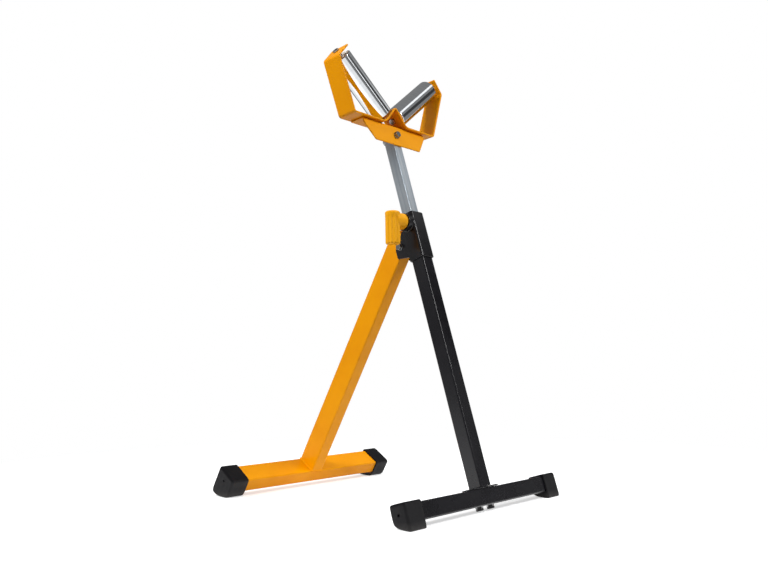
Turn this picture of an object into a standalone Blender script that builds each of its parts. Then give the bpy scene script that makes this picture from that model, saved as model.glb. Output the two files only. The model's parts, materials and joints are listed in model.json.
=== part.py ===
"""Folding V-head roller stand at its real size, in metres, +Z up.

X runs along the crossbars and -Y is the front. The feet stand on Z = 0 and the origin is the middle
of the footprint. The front frame leans back, the rear leg is hinged to the collar at the top of the
column, a square tube slides in the column, and the head on it carries two rollers in a V.

Each frame below is a matrix with its origin on the axis of the joint that moves what is built in it:
x across the stand, y towards the back and z up along the tube, the leg or the roller.
"""

from math import atan2, cos, pi, radians, sin, tan

import bmesh
import bpy
from mathutils import Matrix, Vector

# Clearances
GAP = 0.0003
SLIDE_GAP = 0.0005

# Stance on the floor
COLUMN_LEAN = radians(16.5)
OPEN_ANGLE = radians(48.4)
HEAD_LEAN = radians(2.5)
FRONT_BAR_PLACE = -0.2089
FRONT_BAR_HEIGHT = 0.0190
REAR_BAR_HEIGHT = 0.0282

# Front column and its crossbar
COLUMN_WIDE = 0.025
COLUMN_WALL = 0.0015
COLUMN_CORNER = 0.0025
COLUMN_TOP = 0.465
FRONT_BAR_WIDE = 0.025
FRONT_BAR_WALL = 0.0015
FRONT_BAR_CORNER = 0.0025
FRONT_BAR_LENGTH = 0.360
BASE_PLATE_LENGTH = 0.060
BASE_PLATE_THICK = 0.002
BASE_BOLT_SPREAD = 0.027
BASE_BOLT_RADIUS = 0.0030
BASE_BOLT_HEX = 0.010
BASE_BOLT_HEAD = 0.0040
BASE_WASHER_RADIUS = 0.0060
BASE_WASHER = 0.0012

# Rubber feet
FOOT_WALL = 0.0026
FOOT_END_WALL = 0.0032
FOOT_COVER = 0.0300
FOOT_ROUND = 0.0012
FOOT_HEEL_CUT = 0.006
FOOT_VENT_RADIUS = 0.0020
REAR_FOOT_DROP = 0.037

# Collar on the column's top, with the hinge cheeks and the lever boss
COLLAR_WIDE = 0.030
COLLAR_CORNER = 0.0035
COLLAR_DROP = 0.078
COLLAR_TOP_WALL = 0.0042
COLLAR_TOP_ROUND = 0.0022
CHEEK_SPREAD = 0.0296
CHEEK_REACH = 0.0385
CHEEK_BOTTOM_DROP = 0.0665
CHEEK_TOP_DROP = 0.018
CHEEK_ROUND = 0.006
STOP_PAD = 0.0005
BOSS_RADIUS = 0.0147
BOSS_LENGTH = 0.0090

# Hinge
HINGE_BACK = 0.0265
HINGE_DROP = 0.045
HINGE_BOLT_RADIUS = 0.0030
HINGE_HEX = 0.010
HINGE_HEAD = 0.0040
HINGE_NUT = 0.0050
HINGE_WASHER_RADIUS = 0.0060
HINGE_WASHER = 0.0012
BUSH_WALL = 0.0010
BOLT_TIP = 0.0015

# Rear leg and its crossbar
LEG_WIDE = 0.040
LEG_NARROW = 0.024
LEG_WALL = 0.0015
LEG_CORNER = 0.0025
LEG_FRONT_FROM_HINGE = 0.0067
LEG_ABOVE_HINGE = 0.0185
REAR_BAR_DEEP = 0.040
REAR_BAR_HIGH = 0.024
REAR_BAR_WALL = 0.0015
REAR_BAR_CORNER = 0.0025
REAR_BAR_LENGTH = 0.367

# Height tube
TUBE_WIDE = 0.020
TUBE_WALL = 0.0015
TUBE_CORNER = 0.0015
TUBE_LENGTH = 0.474
GLIDE_LENGTH = 0.030
GLIDE_FLANGE = 0.004
HEAD_UP = 0.6385

# Head bracket
BRACKET_THICK = 0.0025
BRACKET_LENGTH = 0.151
BRACKET_DROP = 0.042
BRACKET_END_DROP = 0.012
BRACKET_CUT = 0.021
BRACKET_BEND = 0.0030
BRACKET_BACK = 0.0165
HEAD_BOLT_DROP = 0.022
HEAD_BOLT_RADIUS = 0.0030
HEAD_HEX = 0.010
HEAD_BOLT_HEAD = 0.0040
HEAD_NUT = 0.0050
HEAD_WASHER_RADIUS = 0.0060
HEAD_WASHER = 0.0012

# Bent strip of the head
STRIP_THICK = 0.003
STRIP_WIDE = 0.039
STRIP_BEND = 0.0045
ARM_FOOT = 0.0985
ARM_TOP_OUT = 0.1290
ARM_TOP_UP = 0.0905
TIP_LENGTH = 0.0305
ROLLER_SLOPE = radians(40.0)
VEE_FOOT = 0.0255
VEE_FILLET = 0.015
VEE_PEAK_BEND = 0.0040

# Rollers
ROLLER_RADIUS = 0.019
ROLLER_WALL = 0.0015
ROLLER_LOW_SPACE = 0.0040
ROLLER_TOP_SPACE = 0.0085
CAP_FACE = 0.002
CAP_DEPTH = 0.010
CAP_SKIRT_WALL = 0.0015
CAP_HUB_RADIUS = 0.0070
CAP_HUB_PROUD = 0.0010
AXLE_RADIUS = 0.0030
AXLE_HEX = 0.010
AXLE_HEAD = 0.0040
AXLE_NUT = 0.0030
AXLE_TIP = 0.0004
SPACER_RADIUS = 0.0050

# Lever lock
LOCK_DROP = 0.0125
LOCK_SCREW_RADIUS = 0.0040
LOCK_BUSH_RADIUS = 0.0075
PAD_RADIUS = 0.0046
PAD_THICK = 0.0014
HUB_RADIUS = 0.0138
HUB_START_GAP = 0.0012
GRIP_RADIUS = 0.0125
GRIP_CENTRE = 0.0495
GRIP_RISE = 0.0145
GRIP_HANG = 0.0405
GRIP_FLUTES = 14
GRIP_FLUTE_DEPTH = 0.0007
GRIP_ROUND = 0.0035
SCREW_IN_GRIP = 0.004

# Facets
ROUND_STEPS = 32
SMALL_STEPS = 24
CORNER_STEPS = 4
CUT_REACH = 0.2

# Sizes that follow from those above. The drops are measured down from the column's top.
COLLAR_BOTTOM = COLUMN_TOP - COLLAR_DROP
CHEEK_BOTTOM = COLUMN_TOP - CHEEK_BOTTOM_DROP
CHEEK_TOP = COLUMN_TOP - CHEEK_TOP_DROP
HINGE_UP = COLUMN_TOP - HINGE_DROP
LOCK_UP = COLUMN_TOP - LOCK_DROP
LEG_LEAN = OPEN_ANGLE - COLUMN_LEAN
HEAD_TILT = COLUMN_LEAN - HEAD_LEAN
HALF_PI = pi / 2


def column_frame():
    """Origin in the middle of the front crossbar."""
    place = Matrix.Translation((0, FRONT_BAR_PLACE, FRONT_BAR_HEIGHT))
    return place @ Matrix.Rotation(-COLUMN_LEAN, 4, "X")


def leg_frame():
    """Origin on the hinge axis."""
    hinge = column_frame() @ Vector((0, HINGE_BACK, HINGE_UP))
    return Matrix.Translation(hinge) @ Matrix.Rotation(LEG_LEAN, 4, "X")


def tube_frame():
    """Origin on the column's axis, at the underside of the head's strip."""
    return column_frame() @ Matrix.Translation((0, 0, HEAD_UP))


def head_frame():
    """Same origin as the tube's frame, nearly level."""
    return tube_frame() @ Matrix.Rotation(HEAD_TILT, 4, "X")


def lever_frame():
    """Origin on the lock screw's axis, with the grip hanging plumb."""
    centre = column_frame() @ Vector((0, 0, LOCK_UP))
    return Matrix.Translation(centre)


def leg_length():
    """From the hinge to the middle of the rear crossbar, along the leg, so that the rear feet are level."""
    hinge_height = leg_frame().translation.z
    set_back = leg_centre() * sin(LEG_LEAN)
    return (hinge_height + set_back - REAR_BAR_HEIGHT) / cos(LEG_LEAN)


def leg_centre():
    """How far the leg's centre line lies behind the hinge axis."""
    return LEG_WIDE / 2 - LEG_FRONT_FROM_HINGE


def vee_middle():
    """Middle of one sloping side of the V, in the strip's mid-plane, as (x, z) of the right side."""
    return VEE_FOOT / 2, STRIP_THICK / 2 + VEE_FOOT / 2 * tan(HALF_PI - ROLLER_SLOPE)


def axle_span():
    """From the V's side to the tip plate, mid-plane to mid-plane, along the axle."""
    start_x, start_z = vee_middle()
    return (ARM_TOP_OUT - start_x) * cos(ROLLER_SLOPE) + (ARM_TOP_UP - start_z) * sin(ROLLER_SLOPE)


def roller_length():
    return axle_span() - STRIP_THICK - ROLLER_LOW_SPACE - ROLLER_TOP_SPACE


def roller_frame(side):
    """Origin on the axle where it crosses the V's side, z out along the axle. side is -1 or 1."""
    start_x, start_z = vee_middle()
    turn = Matrix.Rotation(side * (HALF_PI - ROLLER_SLOPE), 4, "Y")
    return head_frame() @ Matrix.Translation((side * start_x, 0, start_z)) @ turn


# Outlines, as lists of (a, b)


def arc(centre, radius, start, end, steps):
    """Points along an arc, both ends included."""
    span = (end - start) / steps
    turns = [start + span * step for step in range(steps + 1)]
    return [(centre[0] + radius * cos(turn), centre[1] + radius * sin(turn)) for turn in turns]


def circle(radius, steps=SMALL_STEPS):
    return arc((0, 0), radius, 0, 2 * pi, steps)[:-1]


def hexagon(across_flats, steps=SMALL_STEPS):
    """A hexagon with as many points as a circle of these steps, at the same angles."""
    flat = across_flats / 2
    points = []
    for step in range(steps):
        turn = 2 * pi * step / steps
        from_flat = (turn % (pi / 3)) - pi / 6
        reach = flat / cos(from_flat)
        points.append((reach * cos(turn), reach * sin(turn)))
    return points


def corner_arc(before, corner, after, radius, steps):
    """The arc of this radius that rounds one corner of a path."""
    back = (Vector(before) - Vector(corner)).normalized()
    on = (Vector(after) - Vector(corner)).normalized()
    half = back.angle(on) / 2
    centre = Vector(corner) + (back + on).normalized() * radius / sin(half)
    first = Vector(corner) + back * radius / tan(half) - centre
    last = Vector(corner) + on * radius / tan(half) - centre
    start = atan2(first.y, first.x)
    sweep = (atan2(last.y, last.x) - start + pi) % (2 * pi) - pi
    return arc(centre, radius, start, start + sweep, steps)


def rounded(corners, radius, steps=CORNER_STEPS):
    """A closed outline with every corner rounded; radius is one value or one for each corner."""
    count = len(corners)
    radii = radius if isinstance(radius, list) else [radius] * count
    points = []
    for index, corner in enumerate(corners):
        if radii[index] == 0:
            points.append(corner)
            continue
        before = corners[index - 1]
        after = corners[(index + 1) % count]
        points += corner_arc(before, corner, after, radii[index], steps)
    return points


def rectangle(wide, deep, radius, centre=(0, 0)):
    half_x, half_y = wide / 2, deep / 2
    corners = [(-half_x, -half_y), (half_x, -half_y), (half_x, half_y), (-half_x, half_y)]
    moved = [(x + centre[0], y + centre[1]) for x, y in corners]
    return rounded(moved, radius)


def sheet(path, radii, thick, steps=6):
    """The outline of a bent sheet, from its mid-plane path and a bend radius for each inner point."""
    line = [path[0]]
    for index in range(1, len(path) - 1):
        line += corner_arc(path[index - 1], path[index], path[index + 1], radii[index - 1], steps)
    line.append(path[-1])
    points = [Vector(point) for point in line]
    left, right = [], []
    for index, point in enumerate(points):
        ahead = points[min(index + 1, len(points) - 1)] - point
        behind = point - points[max(index - 1, 0)]
        unit_ahead = ahead.normalized() if ahead.length else behind.normalized()
        unit_behind = behind.normalized() if behind.length else unit_ahead
        along = (unit_ahead + unit_behind).normalized()
        stretch = 1 / max(along.dot(unit_ahead), 0.5)
        side = Vector((-along.y, along.x)) * thick / 2 * stretch
        left.append(tuple(point + side))
        right.append(tuple(point - side))
    return left + right[::-1]


# Solids, built in a bmesh


def on_axis(axis, point, along):
    """A 3-D point from an outline's (a, b) and its place along the axis."""
    a, b = point
    if axis == "x":
        return Vector((along, a, b))
    if axis == "y":
        return Vector((a, along, b))
    return Vector((a, b, along))


def loft(shape, loops, axis="z", ring=False, centre=(0, 0, 0)):
    """Joins outlines of equal count, given as (outline, along), and closes the ends or the ring."""
    rows = []
    for outline, along in loops:
        row = [shape.verts.new(on_axis(axis, point, along) + Vector(centre)) for point in outline]
        rows.append(row)
    pairs = list(zip(rows, rows[1:]))
    if ring:
        pairs.append((rows[-1], rows[0]))
    else:
        shape.faces.new(rows[0])
        shape.faces.new(rows[-1])
    count = len(rows[0])
    for lower, upper in pairs:
        for index in range(count):
            following = (index + 1) % count
            shape.faces.new((lower[index], lower[following], upper[following], upper[index]))
    return [vert for row in rows for vert in row]


def prism(shape, outline, start, end, axis="z", centre=(0, 0, 0)):
    return loft(shape, [(outline, start), (outline, end)], axis, centre=centre)


def pipe(shape, outer, inner, start, end, axis="z", centre=(0, 0, 0)):
    """A hollow length whose outer and inner outlines have the same count."""
    loops = [(outer, start), (outer, end), (inner, end), (inner, start)]
    return loft(shape, loops, axis, ring=True, centre=centre)


def turned(shape, profile, axis="z", centre=(0, 0, 0), ring=False, steps=SMALL_STEPS):
    """A turned piece from its profile of (radius, along)."""
    loops = [(circle(radius, steps), along) for radius, along in profile]
    return loft(shape, loops, axis, ring, centre)


def square_tube(shape, wide, deep, wall, corner, start, end, axis="z", centre=(0, 0, 0)):
    outer = rectangle(wide, deep, corner)
    inner = rectangle(wide - 2 * wall, deep - 2 * wall, max(corner - wall, wall / 3))
    return pipe(shape, outer, inner, start, end, axis, centre)


def bolt(shape, hex_size, head, radius, reach, axis, centre, side):
    """A hexagon bolt: head outside the seat plane, shank through it. side is the head's direction."""
    loops = [
        (hexagon(hex_size), side * head),
        (hexagon(hex_size), 0),
        (circle(radius), 0),
        (circle(radius), -side * reach),
    ]
    return loft(shape, loops, axis, centre=centre)


def nut(shape, hex_size, high, bore, axis, centre, side):
    outer = hexagon(hex_size)
    return pipe(shape, outer, circle(bore), 0, side * high, axis, centre)


def washer(shape, radius, bore, thick, axis, centre, side):
    return pipe(shape, circle(radius), circle(bore), 0, side * thick, axis, centre)


# Materials: name -> (colour, metallic, roughness)
FINISHES = {
    "black_paint": ((0.018, 0.018, 0.021), 0.0, 0.42),
    "black_rubber": ((0.014, 0.014, 0.016), 0.0, 0.75),
    "black_plastic": ((0.016, 0.016, 0.018), 0.0, 0.55),
    "yellow_paint": ((0.83, 0.34, 0.005), 0.0, 0.38),
    "yellow_plastic": ((0.88, 0.42, 0.01), 0.0, 0.45),
    "zinc_plate": ((0.52, 0.56, 0.60), 1.0, 0.35),
    "chrome": ((0.72, 0.74, 0.76), 1.0, 0.12),
    "steel": ((0.60, 0.60, 0.58), 1.0, 0.40),
    "black_steel": ((0.020, 0.020, 0.022), 0.0, 0.45),
    "brass": ((0.72, 0.52, 0.22), 1.0, 0.35),
    "white_plastic": ((0.70, 0.70, 0.68), 0.0, 0.50),
}


def finish(name):
    if name in bpy.data.materials:
        return bpy.data.materials[name]
    colour, metallic, roughness = FINISHES[name]
    material = bpy.data.materials.new(name)
    material.use_nodes = True
    socket = material.node_tree.nodes["Principled BSDF"].inputs
    socket["Base Color"].default_value = (*colour, 1)
    socket["Metallic"].default_value = metallic
    socket["Roughness"].default_value = roughness
    material.diffuse_color = (*colour, 1)
    return material


# Nodes and cutters


def new_object(name, shape, frame):
    bmesh.ops.recalc_face_normals(shape, faces=shape.faces)
    mesh = bpy.data.meshes.new(name)
    shape.to_mesh(mesh)
    shape.free()
    made = bpy.data.objects.new(name, mesh)
    bpy.context.scene.collection.objects.link(made)
    made.matrix_world = frame
    return made


def node(name, shape, frame, finish_name):
    """One piece of the stand."""
    made = new_object(name, shape, frame)
    made.data.materials.append(finish(finish_name))
    made.data.shade_smooth()
    made.data.set_sharp_from_angle(angle=radians(32))
    return made


def helper(name, shape, frame):
    """A hidden shape that a Boolean reads."""
    made = new_object(name, shape, frame)
    made.hide_render = True
    made.display_type = "WIRE"
    return made


def combine(target, tool, operation):
    change = target.modifiers.new(f"{operation.lower()} {tool.name}", "BOOLEAN")
    change.operation = operation
    change.solver = "EXACT"
    change.object = tool


def soften(target, width, segments=2):
    """Rounds the sharp edges of a moulded piece."""
    bevel = target.modifiers.new("soft edges", "BEVEL")
    bevel.width = width
    bevel.segments = segments
    bevel.limit_method = "ANGLE"
    bevel.angle_limit = radians(50)
    bevel.use_clamp_overlap = True


# Front frame


def front_bar():
    half = FRONT_BAR_LENGTH / 2
    shape = bmesh.new()
    square_tube(
        shape, FRONT_BAR_WIDE, FRONT_BAR_WIDE, FRONT_BAR_WALL, FRONT_BAR_CORNER, -half, half, "x"
    )
    bar = node("front_crossbar", shape, column_frame(), "black_paint")
    holes = base_bolt_holes(-FRONT_BAR_WIDE, FRONT_BAR_WIDE)
    combine(bar, helper("front_crossbar_bolt_holes", holes, column_frame()), "DIFFERENCE")


def base_bolt_holes(start, end):
    """The cutter for the two bolts that run up through the crossbar and the base plate."""
    holes = bmesh.new()
    radius = BASE_BOLT_RADIUS + GAP
    for side in (-1, 1):
        turned(holes, [(radius, start), (radius, end)], centre=(side * BASE_BOLT_SPREAD / 2, 0, 0))
    return holes


def base_plate_bottom():
    return FRONT_BAR_WIDE / 2 + GAP


def column_bottom():
    return base_plate_bottom() + BASE_PLATE_THICK + GAP


def base_plate():
    shape = bmesh.new()
    outline = rectangle(BASE_PLATE_LENGTH, COLUMN_WIDE, COLUMN_CORNER)
    prism(shape, outline, base_plate_bottom(), base_plate_bottom() + BASE_PLATE_THICK)
    plate = node("column_base_plate", shape, column_frame(), "black_paint")
    holes = base_bolt_holes(0, FRONT_BAR_WIDE)
    combine(plate, helper("base_plate_bolt_holes", holes, column_frame()), "DIFFERENCE")


def base_bolts():
    """Two bolts up through the crossbar into the base plate, each with a washer under its head."""
    seat = -FRONT_BAR_WIDE / 2 - GAP
    reach = base_plate_bottom() + BASE_PLATE_THICK - seat + BASE_WASHER + GAP
    for word, side in (("left", -1), ("right", 1)):
        place = (side * BASE_BOLT_SPREAD / 2, 0, seat)
        disc = bmesh.new()
        washer(disc, BASE_WASHER_RADIUS, BASE_BOLT_RADIUS + GAP, BASE_WASHER, "z", place, -1)
        node(f"{word}_column_bolt_washer", disc, column_frame(), "black_steel")
        under = (place[0], 0, seat - BASE_WASHER - GAP)
        shape = bmesh.new()
        bolt(shape, BASE_BOLT_HEX, BASE_BOLT_HEAD, BASE_BOLT_RADIUS, reach, "z", under, -1)
        node(f"{word}_column_bolt", shape, column_frame(), "black_steel")


def column():
    shape = bmesh.new()
    square_tube(
        shape, COLUMN_WIDE, COLUMN_WIDE, COLUMN_WALL, COLUMN_CORNER, column_bottom(), COLUMN_TOP
    )
    tube = node("front_column", shape, column_frame(), "black_paint")
    hole = bmesh.new()
    radius = PAD_RADIUS + SLIDE_GAP
    turned(hole, [(radius, -COLUMN_WIDE), (radius, -COLUMN_WIDE / 4)], "x", (0, 0, LOCK_UP))
    combine(tube, helper("column_pad_hole", hole, column_frame()), "DIFFERENCE")


def sole_height(lean, bar_height, back):
    """Height of the floor in a leaning frame, at this distance behind the crossbar's middle."""
    return (back * sin(lean) - bar_height) / cos(lean)


def foot(name, side, frame, bar_half, pocket, outline, bar_centre):
    """A rubber cap over a crossbar's end, hollow to the end wall, with a vent in that wall."""
    pocket_end = bar_half + GAP
    end = pocket_end + FOOT_END_WALL
    start = bar_half - FOOT_COVER
    shape = bmesh.new()
    prism(shape, outline, side * start, side * end, "x")
    cap = node(name, shape, frame, "black_rubber")
    soften(cap, FOOT_ROUND)
    inside = bmesh.new()
    prism(inside, pocket, side * (start - FOOT_COVER), side * pocket_end, "x", bar_centre)
    combine(cap, helper(f"{name}_pocket", inside, frame), "DIFFERENCE")
    vent = bmesh.new()
    hole = [(FOOT_VENT_RADIUS, side * bar_half), (FOOT_VENT_RADIUS, side * (end + FOOT_WALL))]
    turned(vent, hole, "x", bar_centre)
    combine(cap, helper(f"{name}_vent", vent, frame), "DIFFERENCE")


def front_feet():
    reach = FRONT_BAR_WIDE / 2 + GAP + FOOT_WALL
    front_low = sole_height(COLUMN_LEAN, FRONT_BAR_HEIGHT, -reach)
    heel = reach - FOOT_HEEL_CUT
    heel_low = sole_height(COLUMN_LEAN, FRONT_BAR_HEIGHT, heel)
    outline = [
        (-reach, front_low),
        (heel, heel_low),
        (reach, heel_low + FOOT_HEEL_CUT),
        (reach, reach),
        (-reach, reach),
    ]
    pocket = rectangle(FRONT_BAR_WIDE + 2 * GAP, FRONT_BAR_WIDE + 2 * GAP, FRONT_BAR_CORNER)
    for word, side in (("left", -1), ("right", 1)):
        bar_half = FRONT_BAR_LENGTH / 2
        foot(f"{word}_front_foot", side, column_frame(), bar_half, pocket, outline, (0, 0, 0))


# Collar


def cheek_outline():
    """The hinge cheeks from the side, with a lower edge that is level when the stand is open."""
    near = COLLAR_WIDE / 2 - COLLAR_CORNER
    rise = (CHEEK_REACH - near) * tan(COLUMN_LEAN)
    corners = [
        (near, CHEEK_BOTTOM - rise / 2),
        (CHEEK_REACH, CHEEK_BOTTOM + rise / 2),
        (CHEEK_REACH, CHEEK_TOP - CHEEK_REACH + near),
        (near, CHEEK_TOP),
    ]
    return rounded(corners, [0, CHEEK_ROUND / 2, CHEEK_ROUND, 0])


def collar_top():
    return COLUMN_TOP + GAP + COLLAR_TOP_WALL


def collar_sleeve(shape):
    """The sleeve's outside, with its top edge rounded over."""
    loops = [(rectangle(COLLAR_WIDE, COLLAR_WIDE, COLLAR_CORNER), COLLAR_BOTTOM)]
    for step in range(CORNER_STEPS + 1):
        turn = HALF_PI * step / CORNER_STEPS
        inset = COLLAR_TOP_ROUND * (1 - cos(turn))
        up = collar_top() - COLLAR_TOP_ROUND * (1 - sin(turn))
        wide = COLLAR_WIDE - 2 * inset
        loops.append((rectangle(wide, wide, COLLAR_CORNER - inset), up))
    loft(shape, loops)


def collar_voids():
    """What is hollow in the collar: the seats of the column, tube, leg, hinge bolt and bush."""
    voids = []
    seat = COLUMN_WIDE + 2 * GAP
    bore = bmesh.new()
    prism(bore, rectangle(seat, seat, COLUMN_CORNER), COLLAR_BOTTOM - seat, COLUMN_TOP + GAP)
    voids.append(("collar_bore", bore))
    way = bmesh.new()
    opening = TUBE_WIDE + 2 * SLIDE_GAP
    prism(way, rectangle(opening, opening, TUBE_CORNER), COLUMN_TOP - seat, collar_top() + seat)
    voids.append(("collar_tube_way", way))
    slot = bmesh.new()
    slot_deep = CHEEK_REACH * 2
    centre = (0, COLLAR_WIDE / 2 + STOP_PAD + slot_deep / 2)
    slot_outline = rectangle(cheek_gap(), slot_deep, 0, centre)
    prism(slot, slot_outline, COLLAR_BOTTOM - seat, CHEEK_TOP + seat)
    voids.append(("collar_leg_slot", slot))
    hole = bmesh.new()
    radius = HINGE_BOLT_RADIUS + GAP
    turned(hole, [(radius, -COLLAR_WIDE), (radius, COLLAR_WIDE)], "x", (0, HINGE_BACK, HINGE_UP))
    voids.append(("collar_hinge_hole", hole))
    threads = bmesh.new()
    radius = LOCK_BUSH_RADIUS + GAP
    reach = COLLAR_WIDE / 2 + BOSS_LENGTH
    turned(threads, [(radius, -2 * reach), (radius, -COLUMN_WIDE / 4)], "x", (0, 0, LOCK_UP))
    voids.append(("collar_bush_bore", threads))
    return voids


def cheek_gap():
    return LEG_NARROW + 2 * GAP


def collar():
    shape = bmesh.new()
    collar_sleeve(shape)
    body = node("column_collar", shape, column_frame(), "black_plastic")
    cheeks = bmesh.new()
    prism(cheeks, cheek_outline(), -CHEEK_SPREAD / 2, CHEEK_SPREAD / 2, "x")
    combine(body, helper("collar_cheeks", cheeks, column_frame()), "UNION")
    boss = bmesh.new()
    half = COLLAR_WIDE / 2
    inner = half - COLLAR_CORNER / 2
    profile = [(BOSS_RADIUS, -half - BOSS_LENGTH), (BOSS_RADIUS, -inner)]
    turned(boss, profile, "x", (0, 0, LOCK_UP), steps=ROUND_STEPS)
    combine(body, helper("collar_boss", boss, column_frame()), "UNION")
    for name, void in collar_voids():
        combine(body, helper(name, void, column_frame()), "DIFFERENCE")


# Hinge


def hinge():
    frame = column_frame()
    face = COLLAR_WIDE / 2
    for word, side in (("left", -1), ("right", 1)):
        disc = bmesh.new()
        place = (side * (face + GAP), HINGE_BACK, HINGE_UP)
        washer(disc, HINGE_WASHER_RADIUS, HINGE_BOLT_RADIUS + GAP, HINGE_WASHER, "x", place, side)
        node(f"{word}_hinge_washer", disc, frame, "steel")
    seat = face + HINGE_WASHER + 2 * GAP
    shape = bmesh.new()
    reach = 2 * seat + HINGE_NUT + BOLT_TIP
    place = (-seat, HINGE_BACK, HINGE_UP)
    bolt(shape, HINGE_HEX, HINGE_HEAD, HINGE_BOLT_RADIUS, reach, "x", place, -1)
    node("hinge_bolt", shape, frame, "steel")
    shape = bmesh.new()
    place = (seat, HINGE_BACK, HINGE_UP)
    nut(shape, HINGE_HEX, HINGE_NUT, HINGE_BOLT_RADIUS + GAP, "x", place, 1)
    node("hinge_nut", shape, frame, "steel")
    shape = bmesh.new()
    inner = HINGE_BOLT_RADIUS + GAP
    half = LEG_NARROW / 2
    pipe(
        shape, circle(inner + BUSH_WALL), circle(inner), -half, half, "x", (0, HINGE_BACK, HINGE_UP)
    )
    node("hinge_bush", shape, frame, "steel")


# Rear leg


def leg():
    shape = bmesh.new()
    bottom = -leg_length() + REAR_BAR_HIGH / 2 + GAP
    centre = (0, leg_centre(), 0)
    square_tube(
        shape, LEG_NARROW, LEG_WIDE, LEG_WALL, LEG_CORNER, bottom, LEG_ABOVE_HINGE, centre=centre
    )
    tube = node("rear_leg", shape, leg_frame(), "yellow_paint")
    slant = bmesh.new()
    prism(slant, stop_face_outline(), -LEG_NARROW, LEG_NARROW, "x")
    combine(tube, helper("leg_top_cut", slant, leg_frame()), "DIFFERENCE")
    hole = bmesh.new()
    radius = HINGE_BOLT_RADIUS + BUSH_WALL + 2 * GAP
    turned(hole, [(radius, -LEG_NARROW), (radius, LEG_NARROW)], "x")
    combine(tube, helper("leg_hinge_hole", hole, leg_frame()), "DIFFERENCE")


def stop_face_outline():
    """What is cut off the leg's top, so that its end lies flat on the collar's back when open."""
    reach = HINGE_BACK - COLLAR_WIDE / 2 - STOP_PAD - GAP
    outward = Vector((-cos(OPEN_ANGLE), sin(OPEN_ANGLE)))
    along = Vector((outward.y, -outward.x))
    near = outward * reach
    far = outward * CUT_REACH
    across = along * CUT_REACH
    corners = [near - across, near + across, far + across, far - across]
    return [tuple(corner) for corner in corners]


def rear_bar():
    half = REAR_BAR_LENGTH / 2
    shape = bmesh.new()
    centre = (0, leg_centre(), -leg_length())
    square_tube(
        shape,
        REAR_BAR_DEEP,
        REAR_BAR_HIGH,
        REAR_BAR_WALL,
        REAR_BAR_CORNER,
        -half,
        half,
        "x",
        centre,
    )
    node("rear_crossbar", shape, leg_frame(), "yellow_paint")


def rear_feet():
    """Like the front feet, with a drop behind the sole where the leaning bar stands clear of the floor."""
    deep = REAR_BAR_DEEP / 2 + GAP + FOOT_WALL
    high = REAR_BAR_HIGH / 2 + GAP + FOOT_WALL
    front_low = sole_height(-LEG_LEAN, REAR_BAR_HEIGHT, -deep)
    sole_back = (REAR_BAR_HEIGHT - REAR_FOOT_DROP * cos(LEG_LEAN)) / -sin(LEG_LEAN)
    middle_y, middle_z = leg_centre(), -leg_length()
    corners = [
        (-deep, front_low),
        (sole_back, -REAR_FOOT_DROP),
        (deep, -REAR_FOOT_DROP),
        (deep, high),
        (-deep, high),
    ]
    outline = [(y + middle_y, z + middle_z) for y, z in corners]
    pocket = rectangle(REAR_BAR_DEEP + 2 * GAP, REAR_BAR_HIGH + 2 * GAP, REAR_BAR_CORNER)
    for word, side in (("left", -1), ("right", 1)):
        foot(
            f"{word}_rear_foot",
            side,
            leg_frame(),
            REAR_BAR_LENGTH / 2,
            pocket,
            outline,
            (0, middle_y, middle_z),
        )


# Height tube and head bracket


def web_height(back, under):
    """Height in the tube's frame of a plane parallel to the head's underside and this far under it."""
    return (back * sin(HEAD_TILT) - under) / cos(HEAD_TILT)


def tube_top():
    """The tube's upper end, below the inside of the bracket's bend."""
    return web_height(-TUBE_WIDE / 2, 2 * GAP + BRACKET_THICK) - BRACKET_BEND


def inner_tube():
    shape = bmesh.new()
    top = tube_top()
    square_tube(shape, TUBE_WIDE, TUBE_WIDE, TUBE_WALL, TUBE_CORNER, top - TUBE_LENGTH, top)
    tube = node("inner_tube", shape, tube_frame(), "zinc_plate")
    hole = bmesh.new()
    radius = HEAD_BOLT_RADIUS + GAP
    turned(hole, [(radius, -TUBE_WIDE), (radius, TUBE_WIDE)], "y", (0, 0, -HEAD_BOLT_DROP))
    combine(tube, helper("inner_tube_bolt_hole", hole, tube_frame()), "DIFFERENCE")


def tube_glide():
    """A plastic plug: a flange that rides in the column and a spigot in the tube's lower end."""
    bottom = tube_top() - TUBE_LENGTH
    ride = COLUMN_WIDE - 2 * COLUMN_WALL - 2 * GAP
    spigot = TUBE_WIDE - 2 * TUBE_WALL - 2 * GAP
    corner = COLUMN_CORNER - COLUMN_WALL
    shape = bmesh.new()
    loops = [
        (rectangle(ride, ride, corner), bottom - GAP - GLIDE_FLANGE),
        (rectangle(ride, ride, corner), bottom - GAP),
        (rectangle(spigot, spigot, corner), bottom - GAP),
        (rectangle(spigot, spigot, corner), bottom + GLIDE_LENGTH),
    ]
    loft(shape, loops)
    node("inner_tube_glide", shape, tube_frame(), "black_plastic")


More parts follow.
